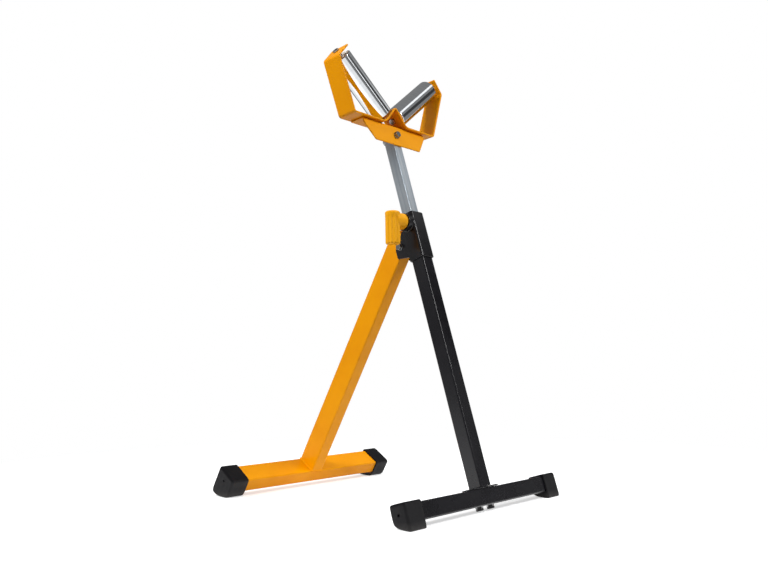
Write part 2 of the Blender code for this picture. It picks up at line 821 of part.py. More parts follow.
def bracket():
    """An angle folded over the tube's end: a flange down the tube's front and a web under the head."""
    front = TUBE_WIDE / 2 + GAP + BRACKET_THICK / 2
    under = GAP + BRACKET_THICK / 2
    path = [
        (-front, -BRACKET_DROP),
        (-front, web_height(-front, under)),
        (BRACKET_BACK, web_height(BRACKET_BACK, under)),
    ]
    outline = sheet(path, [BRACKET_BEND], BRACKET_THICK)
    half = BRACKET_LENGTH / 2
    shape = bmesh.new()
    prism(shape, outline, -half, half, "x")
    angle = node("head_bracket", shape, tube_frame(), "yellow_paint")
    for word, side in (("left", -1), ("right", 1)):
        slant = bmesh.new()
        prism(slant, bracket_corner(side), -CUT_REACH, CUT_REACH, "y")
        combine(angle, helper(f"bracket_{word}_corner", slant, tube_frame()), "DIFFERENCE")
    hole = bmesh.new()
    radius = HEAD_BOLT_RADIUS + GAP
    turned(hole, [(radius, -2 * TUBE_WIDE), (radius, 0)], "y", (0, 0, -HEAD_BOLT_DROP))
    combine(angle, helper("bracket_bolt_hole", hole, tube_frame()), "DIFFERENCE")


def bracket_corner(side):
    """The triangle that is cut from a lower corner of the flange."""
    outer = BRACKET_LENGTH / 2
    inner = outer - BRACKET_CUT
    slope = (BRACKET_DROP - BRACKET_END_DROP) / BRACKET_CUT
    past = BRACKET_THICK
    corners = [
        (outer + past, -BRACKET_END_DROP + past * slope),
        (inner - past, -BRACKET_DROP - past * slope),
        (outer + past, -BRACKET_DROP - past * slope),
    ]
    return [(side * x, z) for x, z in corners]


def head_fastening():
    """The bolt through the flange and the tube, with its head in front and its nut behind."""
    frame = tube_frame()
    back_seat = TUBE_WIDE / 2 + GAP
    front_seat = back_seat + BRACKET_THICK + GAP
    bore = HEAD_BOLT_RADIUS + GAP
    for word, side, seat in (("bolt", -1, front_seat), ("nut", 1, back_seat)):
        disc = bmesh.new()
        place = (0, side * seat, -HEAD_BOLT_DROP)
        washer(disc, HEAD_WASHER_RADIUS, bore, HEAD_WASHER, "y", place, side)
        node(f"head_{word}_washer", disc, frame, "steel")
    front = front_seat + HEAD_WASHER + GAP
    back = back_seat + HEAD_WASHER + GAP
    reach = front + back + HEAD_NUT + BOLT_TIP
    shape = bmesh.new()
    place = (0, -front, -HEAD_BOLT_DROP)
    bolt(shape, HEAD_HEX, HEAD_BOLT_HEAD, HEAD_BOLT_RADIUS, reach, "y", place, -1)
    node("head_bolt", shape, frame, "steel")
    shape = bmesh.new()
    nut(shape, HEAD_HEX, HEAD_NUT, bore, "y", (0, back, -HEAD_BOLT_DROP), 1)
    node("head_nut", shape, frame, "steel")


# Head strip


def strip_path():
    """The strip's mid-plane from the left tip to the right tip, as (x, z) points, with its bend radii."""
    lift = STRIP_THICK / 2
    peak = lift + VEE_FOOT * tan(HALF_PI - ROLLER_SLOPE)
    tip_out = ARM_TOP_OUT - TIP_LENGTH * sin(ROLLER_SLOPE)
    tip_up = ARM_TOP_UP + TIP_LENGTH * cos(ROLLER_SLOPE)
    half = [
        (-tip_out, tip_up),
        (-ARM_TOP_OUT, ARM_TOP_UP),
        (-ARM_FOOT, lift),
        (-VEE_FOOT, lift),
    ]
    mirrored = [(-x, z) for x, z in reversed(half)]
    radii = [STRIP_BEND, STRIP_BEND, VEE_FILLET, VEE_PEAK_BEND, VEE_FILLET, STRIP_BEND, STRIP_BEND]
    return half + [(0, peak)] + mirrored, radii


def head_strip():
    path, radii = strip_path()
    half = STRIP_WIDE / 2
    shape = bmesh.new()
    prism(shape, sheet(path, radii, STRIP_THICK, 8), -half, half, "y")
    strip = node("head_frame", shape, head_frame(), "yellow_paint")
    for word, side in (("left", -1), ("right", 1)):
        hole = bmesh.new()
        radius = AXLE_RADIUS + GAP
        turned(hole, [(radius, -2 * STRIP_THICK), (radius, axle_span() + 2 * STRIP_THICK)])
        cutter = helper(f"head_frame_{word}_axle_holes", hole, roller_frame(side))
        combine(strip, cutter, "DIFFERENCE")


# Rollers


def roller(word, side):
    """One roller with its caps, axle, nut and spacers, in its own frame."""
    frame = roller_frame(side)
    bottom = STRIP_THICK / 2 + ROLLER_LOW_SPACE
    top = bottom + roller_length()
    bore = AXLE_RADIUS + GAP
    shape = bmesh.new()
    outer = circle(ROLLER_RADIUS, ROUND_STEPS)
    inner = circle(ROLLER_RADIUS - ROLLER_WALL, ROUND_STEPS)
    pipe(shape, outer, inner, bottom, top)
    node(f"{word}_roller_tube", shape, frame, "chrome")
    for place, start, inward in (("lower", bottom, 1), ("upper", top, -1)):
        shape = bmesh.new()
        turned(shape, cap_profile(start, inward, bore), ring=True, steps=ROUND_STEPS)
        node(f"{word}_roller_{place}_bearing", shape, frame, "white_plastic")
    low_seat = STRIP_THICK / 2 + GAP
    shape = bmesh.new()
    low_end = bottom - CAP_HUB_PROUD - GAP
    pipe(shape, circle(SPACER_RADIUS), circle(bore), low_seat, low_end)
    node(f"{word}_lower_spacer", shape, frame, "steel")
    plate = axle_span() - STRIP_THICK / 2
    shape = bmesh.new()
    pipe(shape, circle(SPACER_RADIUS), circle(bore), top + CAP_HUB_PROUD + GAP, plate - GAP)
    node(f"{word}_upper_spacer", shape, frame, "steel")
    nut_seat = plate + STRIP_THICK + GAP
    shape = bmesh.new()
    reach = low_seat + nut_seat + AXLE_NUT + AXLE_TIP
    bolt(shape, AXLE_HEX, AXLE_HEAD, AXLE_RADIUS, reach, "z", (0, 0, -low_seat), -1)
    node(f"{word}_roller_axle", shape, frame, "steel")
    shape = bmesh.new()
    nut(shape, AXLE_HEX, AXLE_NUT, bore, "z", (0, 0, nut_seat), 1)
    node(f"{word}_axle_nut", shape, frame, "steel")


def cap_profile(start, inward, bore):
    """A bearing cap: a face in the tube's end, a skirt along the tube and a hub on the axle."""
    rim = ROLLER_RADIUS - ROLLER_WALL - GAP
    skirt = rim - CAP_SKIRT_WALL
    points = [
        (bore, -CAP_HUB_PROUD),
        (CAP_HUB_RADIUS, -CAP_HUB_PROUD),
        (CAP_HUB_RADIUS, 0),
        (rim, 0),
        (rim, CAP_DEPTH),
        (skirt, CAP_DEPTH),
        (skirt, CAP_FACE),
        (CAP_HUB_RADIUS, CAP_FACE),
        (CAP_HUB_RADIUS, CAP_DEPTH),
        (bore, CAP_DEPTH),
    ]
    return [(radius, start + inward * along) for radius, along in points]


# Lever lock


def lock():
    column_face = COLUMN_WIDE / 2
    tube_face = TUBE_WIDE / 2
    boss_face = COLLAR_WIDE / 2 + BOSS_LENGTH
    frame = column_frame()
    centre = (0, 0, LOCK_UP)
    shape = bmesh.new()
    bore = LOCK_SCREW_RADIUS + GAP
    pipe(shape, circle(LOCK_BUSH_RADIUS), circle(bore), -boss_face, -column_face - GAP, "x", centre)
    node("lock_bush", shape, frame, "brass")
    pad_inner = tube_face + GAP
    shape = bmesh.new()
    turned(shape, [(PAD_RADIUS, -pad_inner - PAD_THICK), (PAD_RADIUS, -pad_inner)], "x")
    node("lock_pressure_pad", shape, lever_frame(), "brass")
    screw_tip = pad_inner + PAD_THICK + GAP
    screw_end = GRIP_CENTRE + SCREW_IN_GRIP
    shape = bmesh.new()
    turned(shape, [(LOCK_SCREW_RADIUS, -screw_end), (LOCK_SCREW_RADIUS, -screw_tip)], "x")
    node("lock_screw", shape, lever_frame(), "steel")
    lever(boss_face + HUB_START_GAP, screw_end + GAP)


def grip_outline(radius):
    """A circle with shallow flutes, for the finger grip."""
    steps = GRIP_FLUTES * 4
    points = []
    for step in range(steps):
        turn = 2 * pi * step / steps
        reach = radius - GRIP_FLUTE_DEPTH * (1 - cos(GRIP_FLUTES * turn)) / 2
        points.append((reach * cos(turn), reach * sin(turn)))
    return points


def lever(hub_face, hole_end):
    """The lever: a round hub along the screw and a fluted grip that hangs from its outer end."""
    frame = lever_frame()
    shape = bmesh.new()
    loops = []
    for end, sign in ((-GRIP_HANG, 1), (GRIP_RISE, -1)):
        arcs = []
        for step in range(CORNER_STEPS + 1):
            turn = HALF_PI * step / CORNER_STEPS
            inset = GRIP_ROUND * (1 - sin(turn))
            along = end + sign * GRIP_ROUND * (1 - cos(turn))
            arcs.append((grip_outline(GRIP_RADIUS - inset), along))
        loops += arcs if sign == 1 else arcs[::-1]
    loft(shape, loops, centre=(-GRIP_CENTRE, 0, 0))
    handle = node("lock_lever", shape, frame, "yellow_plastic")
    hub = bmesh.new()
    turned(hub, [(HUB_RADIUS, -GRIP_CENTRE), (HUB_RADIUS, -hub_face)], "x", steps=ROUND_STEPS)
    combine(handle, helper("lever_hub", hub, frame), "UNION")
    hole = bmesh.new()
    radius = LOCK_SCREW_RADIUS + GAP
    turned(hole, [(radius, -hole_end), (radius, 0)], "x")
    combine(handle, helper("lever_screw_hole", hole, frame), "DIFFERENCE")


def clear_scene():
    for thing in list(bpy.data.objects):
        bpy.data.objects.remove(thing)


def build():
    clear_scene()
    front_bar()
    base_plate()
    base_bolts()
    column()
    front_feet()
    collar()
    hinge()
    leg()
    rear_bar()
    rear_feet()
    inner_tube()
    tube_glide()
    bracket()
    head_fastening()
    head_strip()
    for word, side in (("left", -1), ("right", 1)):
        roller(word, side)
    lock()


build()
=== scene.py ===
"""Looks of a folding roller stand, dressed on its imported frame.

Lengths are metres, and a name that ends in _mm is in millimetres. Each piece is worked out in the frame of the tube,
roller or lever that carries it and put in its place by one matrix, so every finished object sits at the origin.
"""

from __future__ import annotations

import json
import logging
from collections.abc import Callable
from dataclasses import dataclass, replace
from enum import Enum
from math import cos, pi, radians, sin, tan

import bmesh
import bpy
import numpy as np
from mathutils import Matrix, Vector

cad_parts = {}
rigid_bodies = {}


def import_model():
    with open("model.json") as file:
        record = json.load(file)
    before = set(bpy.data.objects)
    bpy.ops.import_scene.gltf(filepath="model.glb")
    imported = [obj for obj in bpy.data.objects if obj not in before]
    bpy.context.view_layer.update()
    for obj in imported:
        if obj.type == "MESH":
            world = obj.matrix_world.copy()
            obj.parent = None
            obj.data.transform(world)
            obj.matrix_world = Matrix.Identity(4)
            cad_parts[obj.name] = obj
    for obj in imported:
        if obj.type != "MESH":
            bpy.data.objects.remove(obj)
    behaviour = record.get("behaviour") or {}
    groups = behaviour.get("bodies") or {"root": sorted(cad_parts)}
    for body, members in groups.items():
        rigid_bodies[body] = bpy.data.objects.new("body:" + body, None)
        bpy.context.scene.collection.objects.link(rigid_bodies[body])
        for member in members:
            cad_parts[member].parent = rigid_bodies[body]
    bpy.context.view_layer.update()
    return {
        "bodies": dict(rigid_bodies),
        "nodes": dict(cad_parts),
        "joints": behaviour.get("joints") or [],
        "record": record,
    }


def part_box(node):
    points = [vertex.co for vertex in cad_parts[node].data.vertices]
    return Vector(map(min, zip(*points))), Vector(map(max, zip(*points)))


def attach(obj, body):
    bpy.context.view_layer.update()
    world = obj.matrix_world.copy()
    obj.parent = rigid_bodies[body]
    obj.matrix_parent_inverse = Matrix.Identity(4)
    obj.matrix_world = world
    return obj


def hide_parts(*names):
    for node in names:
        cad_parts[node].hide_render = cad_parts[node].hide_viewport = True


Array = np.ndarray
LOG = logging.getLogger("roller_stand")
MM = 0.001
GAP = 0.0003
COLUMN_LEAN = radians(16.5)
ROLLER_SLOPE = radians(40.0)
WHITE = (1.0, 1.0, 1.0, 1.0)


class Side(Enum):
    """The two ends of the crossbars, as the sign of X."""

    LEFT = -1
    RIGHT = 1

    @property
    def word(self) -> str:
        """The side's name as it stands in node names."""
        return self.name.lower()


# Finishes


def linear(hex_colour: str) -> tuple[float, float, float, float]:
    """Turns an sRGB hex colour into linear RGBA.

    Args:
        hex_colour: six hex digits after a hash sign.

    Returns:
        The linear red, green and blue, and an alpha of 1.
    """
    values = np.array([int(hex_colour[place : place + 2], 16) for place in (1, 3, 5)]) / 255
    red, green, blue = np.where(values <= 0.04045, values / 12.92, ((values + 0.055) / 1.055) ** 2.4)
    return float(red), float(green), float(blue), 1.0


def add_node(tree: bpy.types.NodeTree, kind: str, settings: dict | None = None) -> bpy.types.Node:
    """Adds one shader node.

    Args:
        tree: the node tree that takes it.
        kind: the node's type, after the words that all types start with.
        settings: properties and inputs, by name or by input number. Where one is a socket, or a node, which stands
            for its first output, it is linked to the input.

    Returns:
        The new node.
    """
    made = tree.nodes.new(f"ShaderNode{kind}")
    for key, value in (settings or {}).items():
        if isinstance(value, bpy.types.Node):
            value = value.outputs[0]
        if isinstance(value, bpy.types.NodeSocket):
            tree.links.new(value, made.inputs[key])
        elif isinstance(key, int) or key in made.inputs:
            made.inputs[key].default_value = value
        else:
            setattr(made, key, value)
    return made


def empty_tree(owner: bpy.types.Material | bpy.types.World) -> bpy.types.NodeTree:
    """Turns a material's or a world's nodes on and clears them.

    Args:
        owner: the material or world.

    Returns:
        Its node tree.
    """
    owner.use_nodes = True
    owner.node_tree.nodes.clear()
    return owner.node_tree


@dataclass(frozen=True)
class Finish:
    """One surface: its colour, its gloss and the fine relief that its making leaves.

    The patches are soft changes of tone, and the grain is the relief. Both are noise in a box of real size, and
    stretch lengthens the box along the grain's own Z, which turn gives as angles about X, Y and Z. Wear is a colour
    that comes through in scuffs below a height.
    """

    name: str
    slot: str
    colour: str
    shade: str
    roughness: float
    gloss_spread: float
    patch_mm: float
    grain_mm: float
    relief_mm: float
    metallic: float = 0.0
    coat: float = 0.0
    coat_roughness: float = 0.12
    specular: float = 0.5
    stretch: float = 1.0
    turn: tuple[float, float, float] = (0.0, 0.0, 0.0)
    wear: str = ""
    wear_below: float = 0.0
    wear_share: float = 0.55

    def noise(self, tree: bpy.types.NodeTree, size_mm: float, detail: float) -> bpy.types.Node:
        """Adds noise in a box of real size, lengthened along the grain.

        Args:
            tree: the material's node tree.
            size_mm: the size of the noise's features.
            detail: how many finer layers it has.

        Returns:
            The noise's node.
        """
        place = add_node(tree, "TexCoord").outputs["Object"]
        cell = size_mm * MM
        scale = (cell, cell, cell * self.stretch)
        settings = {"vector_type": "TEXTURE", "Rotation": self.turn, "Scale": scale, "Vector": place}
        box = add_node(tree, "Mapping", settings)
        return add_node(tree, "TexNoise", {"Scale": 1.0, "Detail": detail, "Roughness": 0.55, "Vector": box})

    def tone(self, tree: bpy.types.NodeTree) -> bpy.types.NodeSocket:
        """Adds the nodes of the colour: the patches over the base, and the wear where there is any.

        Args:
            tree: the material's node tree.

        Returns:
            The colour's socket.
        """
        patches = self.noise(tree, self.patch_mm, 4.0)
        spread = add_node(tree, "MapRange", {"From Min": 0.42, "From Max": 0.72, "Value": patches})
        colours = {6: linear(self.colour), 7: linear(self.shade)}
        mixed = add_node(tree, "Mix", {"data_type": "RGBA", 0: spread} | colours).outputs[2]
        if not self.wear:
            return mixed
        place = add_node(tree, "TexCoord").outputs["Object"]
        height = add_node(tree, "SeparateXYZ", {0: place}).outputs[2]
        fade = {"From Min": self.wear_below, "From Max": 0.0, "To Max": self.wear_share}
        low = add_node(tree, "MapRange", fade | {"Value": height})
        scuffs = self.noise(tree, self.patch_mm / 4, 6.0)
        share = add_node(tree, "Math", {"operation": "MULTIPLY", 0: low, 1: scuffs})
        return add_node(tree, "Mix", {"data_type": "RGBA", 0: share, 6: mixed, 7: linear(self.wear)}).outputs[2]

    def material(self) -> bpy.types.Material:
        """Builds the material, or finds it where it is already built.

        Returns:
            The material of this finish.
        """
        if self.name in bpy.data.materials:
            return bpy.data.materials[self.name]
        made = bpy.data.materials.new(self.name)
        made.use_nodes = True
        tree = made.node_tree
        shader = tree.nodes["Principled BSDF"]
        shader.inputs["Metallic"].default_value = self.metallic
        shader.inputs["Specular IOR Level"].default_value = self.specular
        shader.inputs["Coat Weight"].default_value = self.coat
        shader.inputs["Coat Roughness"].default_value = self.coat_roughness
        tree.links.new(self.tone(tree), shader.inputs["Base Color"])
        ripple = {"From Min": 0.3, "From Max": 0.7, "Value": self.noise(tree, self.patch_mm / 2, 5.0)}
        reach = {"To Min": self.roughness - self.gloss_spread, "To Max": self.roughness + self.gloss_spread}
        gloss = add_node(tree, "MapRange", ripple | reach)
        tree.links.new(gloss.outputs[0], shader.inputs["Roughness"])
        grain = self.noise(tree, self.grain_mm, 3.0)
        relief = add_node(tree, "Bump", {"Strength": 1.0, "Distance": self.relief_mm * MM, "Height": grain})
        tree.links.new(relief.outputs[0], shader.inputs["Normal"])
        return made


# Powder coat levels into a soft orange peel of about a millimetre, drawn here at 3 mm so that the gloss ripples.
YELLOW_POWDER_COAT = Finish(
    "yellow_powder_coated_steel", "yellow_paint", "#F5A000", "#EE9700", 0.36, 0.05, 70.0, 3.0, 0.005, specular=0.16
)
BLACK_POWDER_COAT = Finish(
    "black_powder_coated_steel",
    "black_paint",
    "#0F0E13",
    "#141318",
    *(0.28, 0.04, 50.0, 2.5, 0.004),
    coat=0.25,
    specular=0.3,
)
# Moulded rubber is dull, with a fine stipple, and takes up dust where it meets the floor.
MOULDED_RUBBER = Finish(
    "moulded_black_rubber",
    "black_rubber",
    "#0D0C0F",
    "#131215",
    *(0.60, 0.07, 14.0, 1.1, 0.020),
    specular=0.25,
    wear="#5A5754",
    wear_below=0.012,
)
# Spark-eroded nylon has an even stipple, drawn at about a millimetre so that it breaks up the highlights.
MOULDED_NYLON = Finish(
    "spark_eroded_black_nylon",
    "black_plastic",
    "#0F0E12",
    "#141317",
    *(0.30, 0.04, 20.0, 0.9, 0.003),
    coat=0.30,
    specular=0.3,
)
# Uncoloured nylon is a warm white with a soft gloss.
NATURAL_NYLON = Finish("natural_nylon", "white_plastic", "#DAD8D0", "#C9C6BC", 0.42, 0.05, 12.0, 1.2, 0.010)
# The lever's nylon is coloured through, a little lighter than the paint, with a satin face.
LEVER_PLASTIC = Finish(
    "moulded_yellow_nylon", "yellow_plastic", "#FDB21A", "#F8A90F", 0.36, 0.05, 16.0, 1.0, 0.003, specular=0.18
)
# Bright zinc over drawn tube: pale, slightly blue, with long faint streaks from the drawing die.
DRAWN_ZINC = Finish(
    "zinc_plated_drawn_tube",
    "zinc_plate",
    "#B4BEC7",
    "#D2D8DD",
    *(0.34, 0.08, 5.0, 1.2, 0.008),
    metallic=0.72,
    stretch=24.0,
    turn=(-COLUMN_LEAN, 0.0, 0.0),
)
# Zinc over cold-headed steel is a duller grey, and clouded; the grey is darkened further as painted shade, for the
# shade that these small fasteners sit in.
ZINC_FASTENER = Finish(
    "zinc_plated_fastener_steel", "steel", "#8D9093", "#A3A29E", 0.26, 0.06, 4.0, 0.8, 0.010, metallic=1.0
)
# The bolts under the crossbar are near-black and half dull: partly a dark finish, partly painted shade for the shade
# that the bar casts on them.
SHADED_BLACK_FASTENER = Finish("black_oxide_fastener_steel", "black_steel", "#1B1B1D", "#252426", 0.42, 0.06, 4.0, 0.8, 0.010)
# Turned brass keeps the bright yellow of a fresh cut.
TURNED_BRASS = Finish("turned_brass", "brass", "#B9914E", "#C9A562", 0.30, 0.06, 5.0, 0.8, 0.008, metallic=1.0)
# Chrome over a ground tube is a mirror with faint rings round it, so its grain is squashed along the roller.
GROUND_CHROME = Finish(
    "chrome_plated_roller", "chrome", "#E2E5E8", "#D6DADE", 0.085, 0.020, 24.0, 9.0, 0.001, metallic=1.0, stretch=0.12
)


# Places


def axes_matrix(origin: Array, x_axis: Array, z_axis: Array) -> Array:
    """A place as a 4 by 4 matrix, with its Y axis square to both of the others."""
    rows = np.column_stack([x_axis, np.cross(z_axis, x_axis), z_axis, origin])
    return np.vstack([rows, (0.0, 0.0, 0.0, 1.0)])


def turned_about_x(angle: float) -> Array:
    """A turn about X, as a 4 by 4 matrix."""
    return np.array(Matrix.Rotation(angle, 4, "X"))


def moved(x: float = 0.0, y: float = 0.0, z: float = 0.0) -> Array:
    """A shift, as a 4 by 4 matrix."""
    return np.array(Matrix.Translation((x, y, z)))


def pointing(direction: str, sign: int = 1) -> Array:
    """Works out a turn that lays a piece's own Z along an axis.

    Args:
        direction: the axis, as x, y or z.
        sign: 1 for forwards along it and -1 for backwards.

    Returns:
        The turn, as a 4 by 4 matrix.
    """
    axis, quarter = {"x": ("Y", pi / 2), "y": ("X", -pi / 2), "z": ("X", 0.0)}[direction]
    flip = Matrix.Rotation(pi if sign < 0 else 0.0, 4, "X")
    return np.array(Matrix.Rotation(quarter, 4, axis) @ flip)


@dataclass(frozen=True)
class Places:
    """Where the stand's tubes, head, rollers and lever lie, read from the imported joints."""

    column: Array
    leg: Array
    tube: Array
    head: Array
    lever: Array
    rollers: dict[Side, Array]
    open_angle: float

    @classmethod
    def read(cls, joints: list[dict]) -> "Places":
        """Works the places out.

        Args:
            joints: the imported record's joints.

        Returns:
            The places at rest.
        """
        found = {joint["name"]: joint for joint in joints}
        low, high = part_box("front_crossbar")
        x_axis = np.array([1.0, 0.0, 0.0])
        column = axes_matrix(np.array(low + high) / 2, x_axis, np.array(found["height_slide"]["axis"]))
        open_angle = radians(found["leg_fold"]["range_deg"][1])
        leg = moved(*found["leg_fold"]["pos_m"]) @ turned_about_x(open_angle - COLUMN_LEAN)
        rollers = {}
        for side in Side:
            spin = found[f"{side.word}_roller_spin"]
            along = unit(np.array(spin["axis"]))
            up_head = unit(along * (0, 1, 1))
            across = np.cross(np.cross(x_axis, up_head), along)
            rollers[side] = axes_matrix(np.array(spin["pos_m"]), across, along)
        tube = column @ moved(z=HeightPost.head_up)
        head = axes_matrix(tube[:3, 3], x_axis, up_head)
        lever = moved(*(np.array(found["lock_turn"]["pos_m"]) * (0, 1, 1)))
        return cls(column, leg, tube, head, lever, rollers, open_angle)


# Outlines, as arrays of points by (a, b)


def full_turn(count: int) -> Array:
    """Angles spread evenly round a full turn."""
    return np.arange(count) * 2 * pi / count


def directions(turn: Array) -> Array:
    """Unit vectors at these angles, each the angle's cosine and sine."""
    return np.stack([np.cos(turn), np.sin(turn)], axis=-1)


def unit(vectors: Array) -> Array:
    """A vector, or each row of several, over its own length."""
    return vectors / np.linalg.norm(vectors, axis=-1, keepdims=True)


def rounded_rectangle(wide: float, deep: float, radius: float, steps: int = 5, side_points: int = 0) -> Array:
    """Works out a rectangle with round corners.

    Each corner is its centre plus the radius times the cosine and sine of an angle that runs through its quarter
    turn. Side points are spaced evenly from the end of one corner to the start of the next.

    Args:
        wide: size along a.
        deep: size along b.
        radius: the corners' radius.
        steps: faces round each corner.
        side_points: extra points on each straight side.

    Returns:
        The outline, counter-clockwise.
    """
    turn = full_turn(4)[:, None] + np.linspace(0, pi / 2, steps + 1)
    signs = np.array([(1, 1), (-1, 1), (-1, -1), (1, -1)])
    centres = signs * (np.array([wide, deep]) / 2 - radius)
    corners = centres[:, None, :] + radius * directions(turn)
    share = np.linspace(0, 1, side_points + 2)[1:-1, None]
    start, finish = corners[:, -1:], np.roll(corners, -1, axis=0)[:, :1]
    return np.concatenate([corners, start + (finish - start) * share], axis=1).reshape(-1, 2)


def box_edges(deep: float, high: float) -> Array:
    """The edges of a box about its middle: front, top, back and bottom, each a direction and a distance."""
    return np.array([(pi, deep / 2), (pi / 2, high / 2), (0.0, deep / 2), (-pi / 2, high / 2)])


def soft_polygon(edges: Array, count: int = 120, sharpness: float = 10.0) -> Array:
    """Works out a convex polygon with soft corners, seen from a point inside it.

    At each angle, every edge gives the cosine of the angle from its own direction, kept above zero, over its
    distance. The reach is the sum of these to the power of the sharpness, taken to the power of minus one over it.

    Args:
        edges: one row for each edge, with its outward direction in radians and its distance.
        count: points in the outline.
        sharpness: the power, which makes the corners tighter as it grows.

    Returns:
        The outline, counter-clockwise.
    """
    turn = full_turn(count)
    facing = np.maximum(np.cos(turn[:, None] - edges[None, :, 0]), 0) / edges[None, :, 1]
    reach = (facing**sharpness).sum(axis=1) ** (-1 / sharpness)
    return reach[:, None] * directions(turn)


def bent_line(corners: Array, radii: list[float], steps: int = 8) -> Array:
    """Works out a path through corners, each rounded by an arc.

    An arc starts and ends at the radius over the tangent of half the corner's angle, and its points are its centre
    plus the radius times a unit vector that turns evenly from the first end to the last.

    Args:
        corners: the path's corners, its two ends among them.
        radii: one radius for each inner corner.
        steps: faces round each arc.

    Returns:
        The path's points.
    """
    pieces = [corners[:1]]
    for index, radius in enumerate(radii, start=1):
        back = unit(corners[index - 1] - corners[index])
        on = unit(corners[index + 1] - corners[index])
        half = np.arccos(np.clip(back @ on, -1, 1)) / 2
        centre = corners[index] + unit(back + on) * radius / sin(half)
        first = corners[index] + back * radius / tan(half) - centre
        last = corners[index] + on * radius / tan(half) - centre
        start = np.arctan2(first[1], first[0])
        sweep = np.mod(np.arctan2(last[1], last[0]) - start + pi, 2 * pi) - pi
        pieces.append(centre + radius * directions(start + sweep * np.linspace(0, 1, steps + 1)))
    pieces.append(corners[-1:])
    return np.concatenate(pieces)


def doubled_ends(line: Array, first: Array, last: Array) -> Array:
    """The line with one more point beside each end, set off from it by these vectors."""
    return np.vstack([line[:1], line[:1] + first, line[1:-1], line[-1:] + last, line[-1:]])


def normals_along(path: Array) -> Array:
    """Unit normals of a plane path, square to the line between each point's neighbours."""
    ahead = unit(np.gradient(path, axis=0))
    return np.stack([-ahead[:, 1], ahead[:, 0]], axis=-1)


def quarter_round(radius: float, steps: int = 5) -> tuple[Array, Array]:
    """Inset and advance along an edge's quarter round: the radius times one minus the cosine, and the sine."""
    turn = np.linspace(0, pi / 2, steps + 1)
    return radius * (1 - np.cos(turn)), radius * np.sin(turn)


def rolled_edges(start: float, end: float, radius: float, steps: int) -> tuple[Array, Array]:
    """Works out a straight run whose two edges roll over in a quarter round.

    Args:
        start: where the run starts.
        end: where it ends.
        radius: the edges' radius.
        steps: faces round each edge.

    Returns:
        How far each place is drawn in, and the places from start to end.
    """
    inset, advance = quarter_round(radius, steps)
    places = np.concatenate([start + radius - advance[::-1], end - radius + advance])
    return np.concatenate([inset[::-1], inset]), places


# Meshes


class Shell:
    """A closed mesh in the making, from grids of points."""

    def __init__(self) -> None:
        """Starts with no points."""
        self.points: list[Array] = []
        self.faces: list[list[int]] = []
        self.count = 0

    def grid(self, points: Array, wrap_rows: bool = False, capped: bool = False) -> "Shell":
        """Adds a grid whose columns close on themselves.

        Args:
            points: rows by columns by three.
            wrap_rows: whether the last row joins the first, as on a ring.
            capped: whether the first and the last row are each filled with one face.

        Returns:
            This shell.
        """
        rows, columns = points.shape[:2]
        index = np.arange(rows * columns).reshape(rows, columns) + self.count
        if capped:
            self.faces += [index[0, ::-1].tolist(), index[-1].tolist()]
        if wrap_rows:
            index = np.vstack([index, index[:1]])
        index = np.hstack([index, index[:, :1]])
        corners = [index[:-1, :-1], index[:-1, 1:], index[1:, 1:], index[1:, :-1]]
        self.faces += np.stack(corners, axis=-1).reshape(-1, 4).tolist()
        self.points.append(points.reshape(-1, 3))
        self.count += rows * columns
        return self

    def carried(self, outlines: Array, along: Array, ring: bool = False) -> "Shell":
        """Adds outlines set at places along Z.

        Args:
            outlines: places by points by (x, y).
            along: one place along Z for each outline, or one for each point.
            ring: whether the last outline joins the first. If not, both are filled.

        Returns:
            This shell.
        """
        high = np.broadcast_to(along[:, None] if along.ndim == 1 else along, outlines.shape[:2])
        return self.grid(np.concatenate([outlines, high[..., None]], axis=-1), wrap_rows=ring, capped=not ring)

    def polar(self, reach: Array, heights: Array, ring: bool = False) -> "Shell":
        """Adds a form about Z from its reach by height and by evenly spread angle."""
        return self.carried(reach[..., None] * directions(full_turn(reach.shape[1])), heights, ring)

    def turned(self, radii: Array, heights: Array, columns: int, ring: bool = False) -> "Shell":
        """Adds a turned form: at each height, a circle whose points are the radius times (cosine, sine)."""
        return self.polar(np.repeat(radii[:, None], columns, axis=1), heights, ring)

    def mesh(self, name: str, matrix: Array) -> bpy.types.Mesh:
        """Makes the mesh in the row's frame, with its doubles merged and its faces outwards.

        Args:
            name: the mesh's name.
            matrix: the place of the shell's own frame.

        Returns:
            The mesh.
        """
        points = np.concatenate(self.points) @ matrix[:3, :3].T + matrix[:3, 3]
        made = bpy.data.meshes.new(name)
        made.from_pydata(points.tolist(), [], self.faces)
        clean(made)
        return made


def clean(mesh: bpy.types.Mesh) -> None:
    """Merges a mesh's doubles and turns its faces outwards.

    Args:
        mesh: the mesh, which is changed.
    """
    shape = bmesh.new()
    shape.from_mesh(mesh)
    bmesh.ops.remove_doubles(shape, verts=shape.verts, dist=2e-6)
    bmesh.ops.recalc_face_normals(shape, faces=shape.faces)
    shape.to_mesh(mesh)
    shape.free()


def linked(mesh: bpy.types.Mesh) -> bpy.types.Object:
    """Puts a mesh in the scene.

    Args:
        mesh: the mesh.

    Returns:
        An object with the mesh's name.
    """
    made = bpy.data.objects.new(mesh.name, mesh)
    bpy.context.scene.collection.objects.link(made)
    return made


def show_mesh(mesh: bpy.types.Mesh, finish: Finish, body: str, *nodes: str) -> None:
    """Puts a finished piece in the scene.

    Args:
        mesh: the piece's mesh, in the row's frame. The object takes its name.
        finish: what it is made of.
        body: the body it moves with.
        nodes: the nodes that it stands for.
    """
    made = linked(mesh)
    mesh.materials.append(finish.material())
    mesh.shade_smooth()
    mesh.set_sharp_from_angle(angle=radians(34))
    made.modifiers.new("face weight", "WEIGHTED_NORMAL").keep_sharp = True
    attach(made, body)
    if nodes:
        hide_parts(*nodes)
    LOG.info("%s: %d faces on %s", made.name, len(mesh.polygons), body)


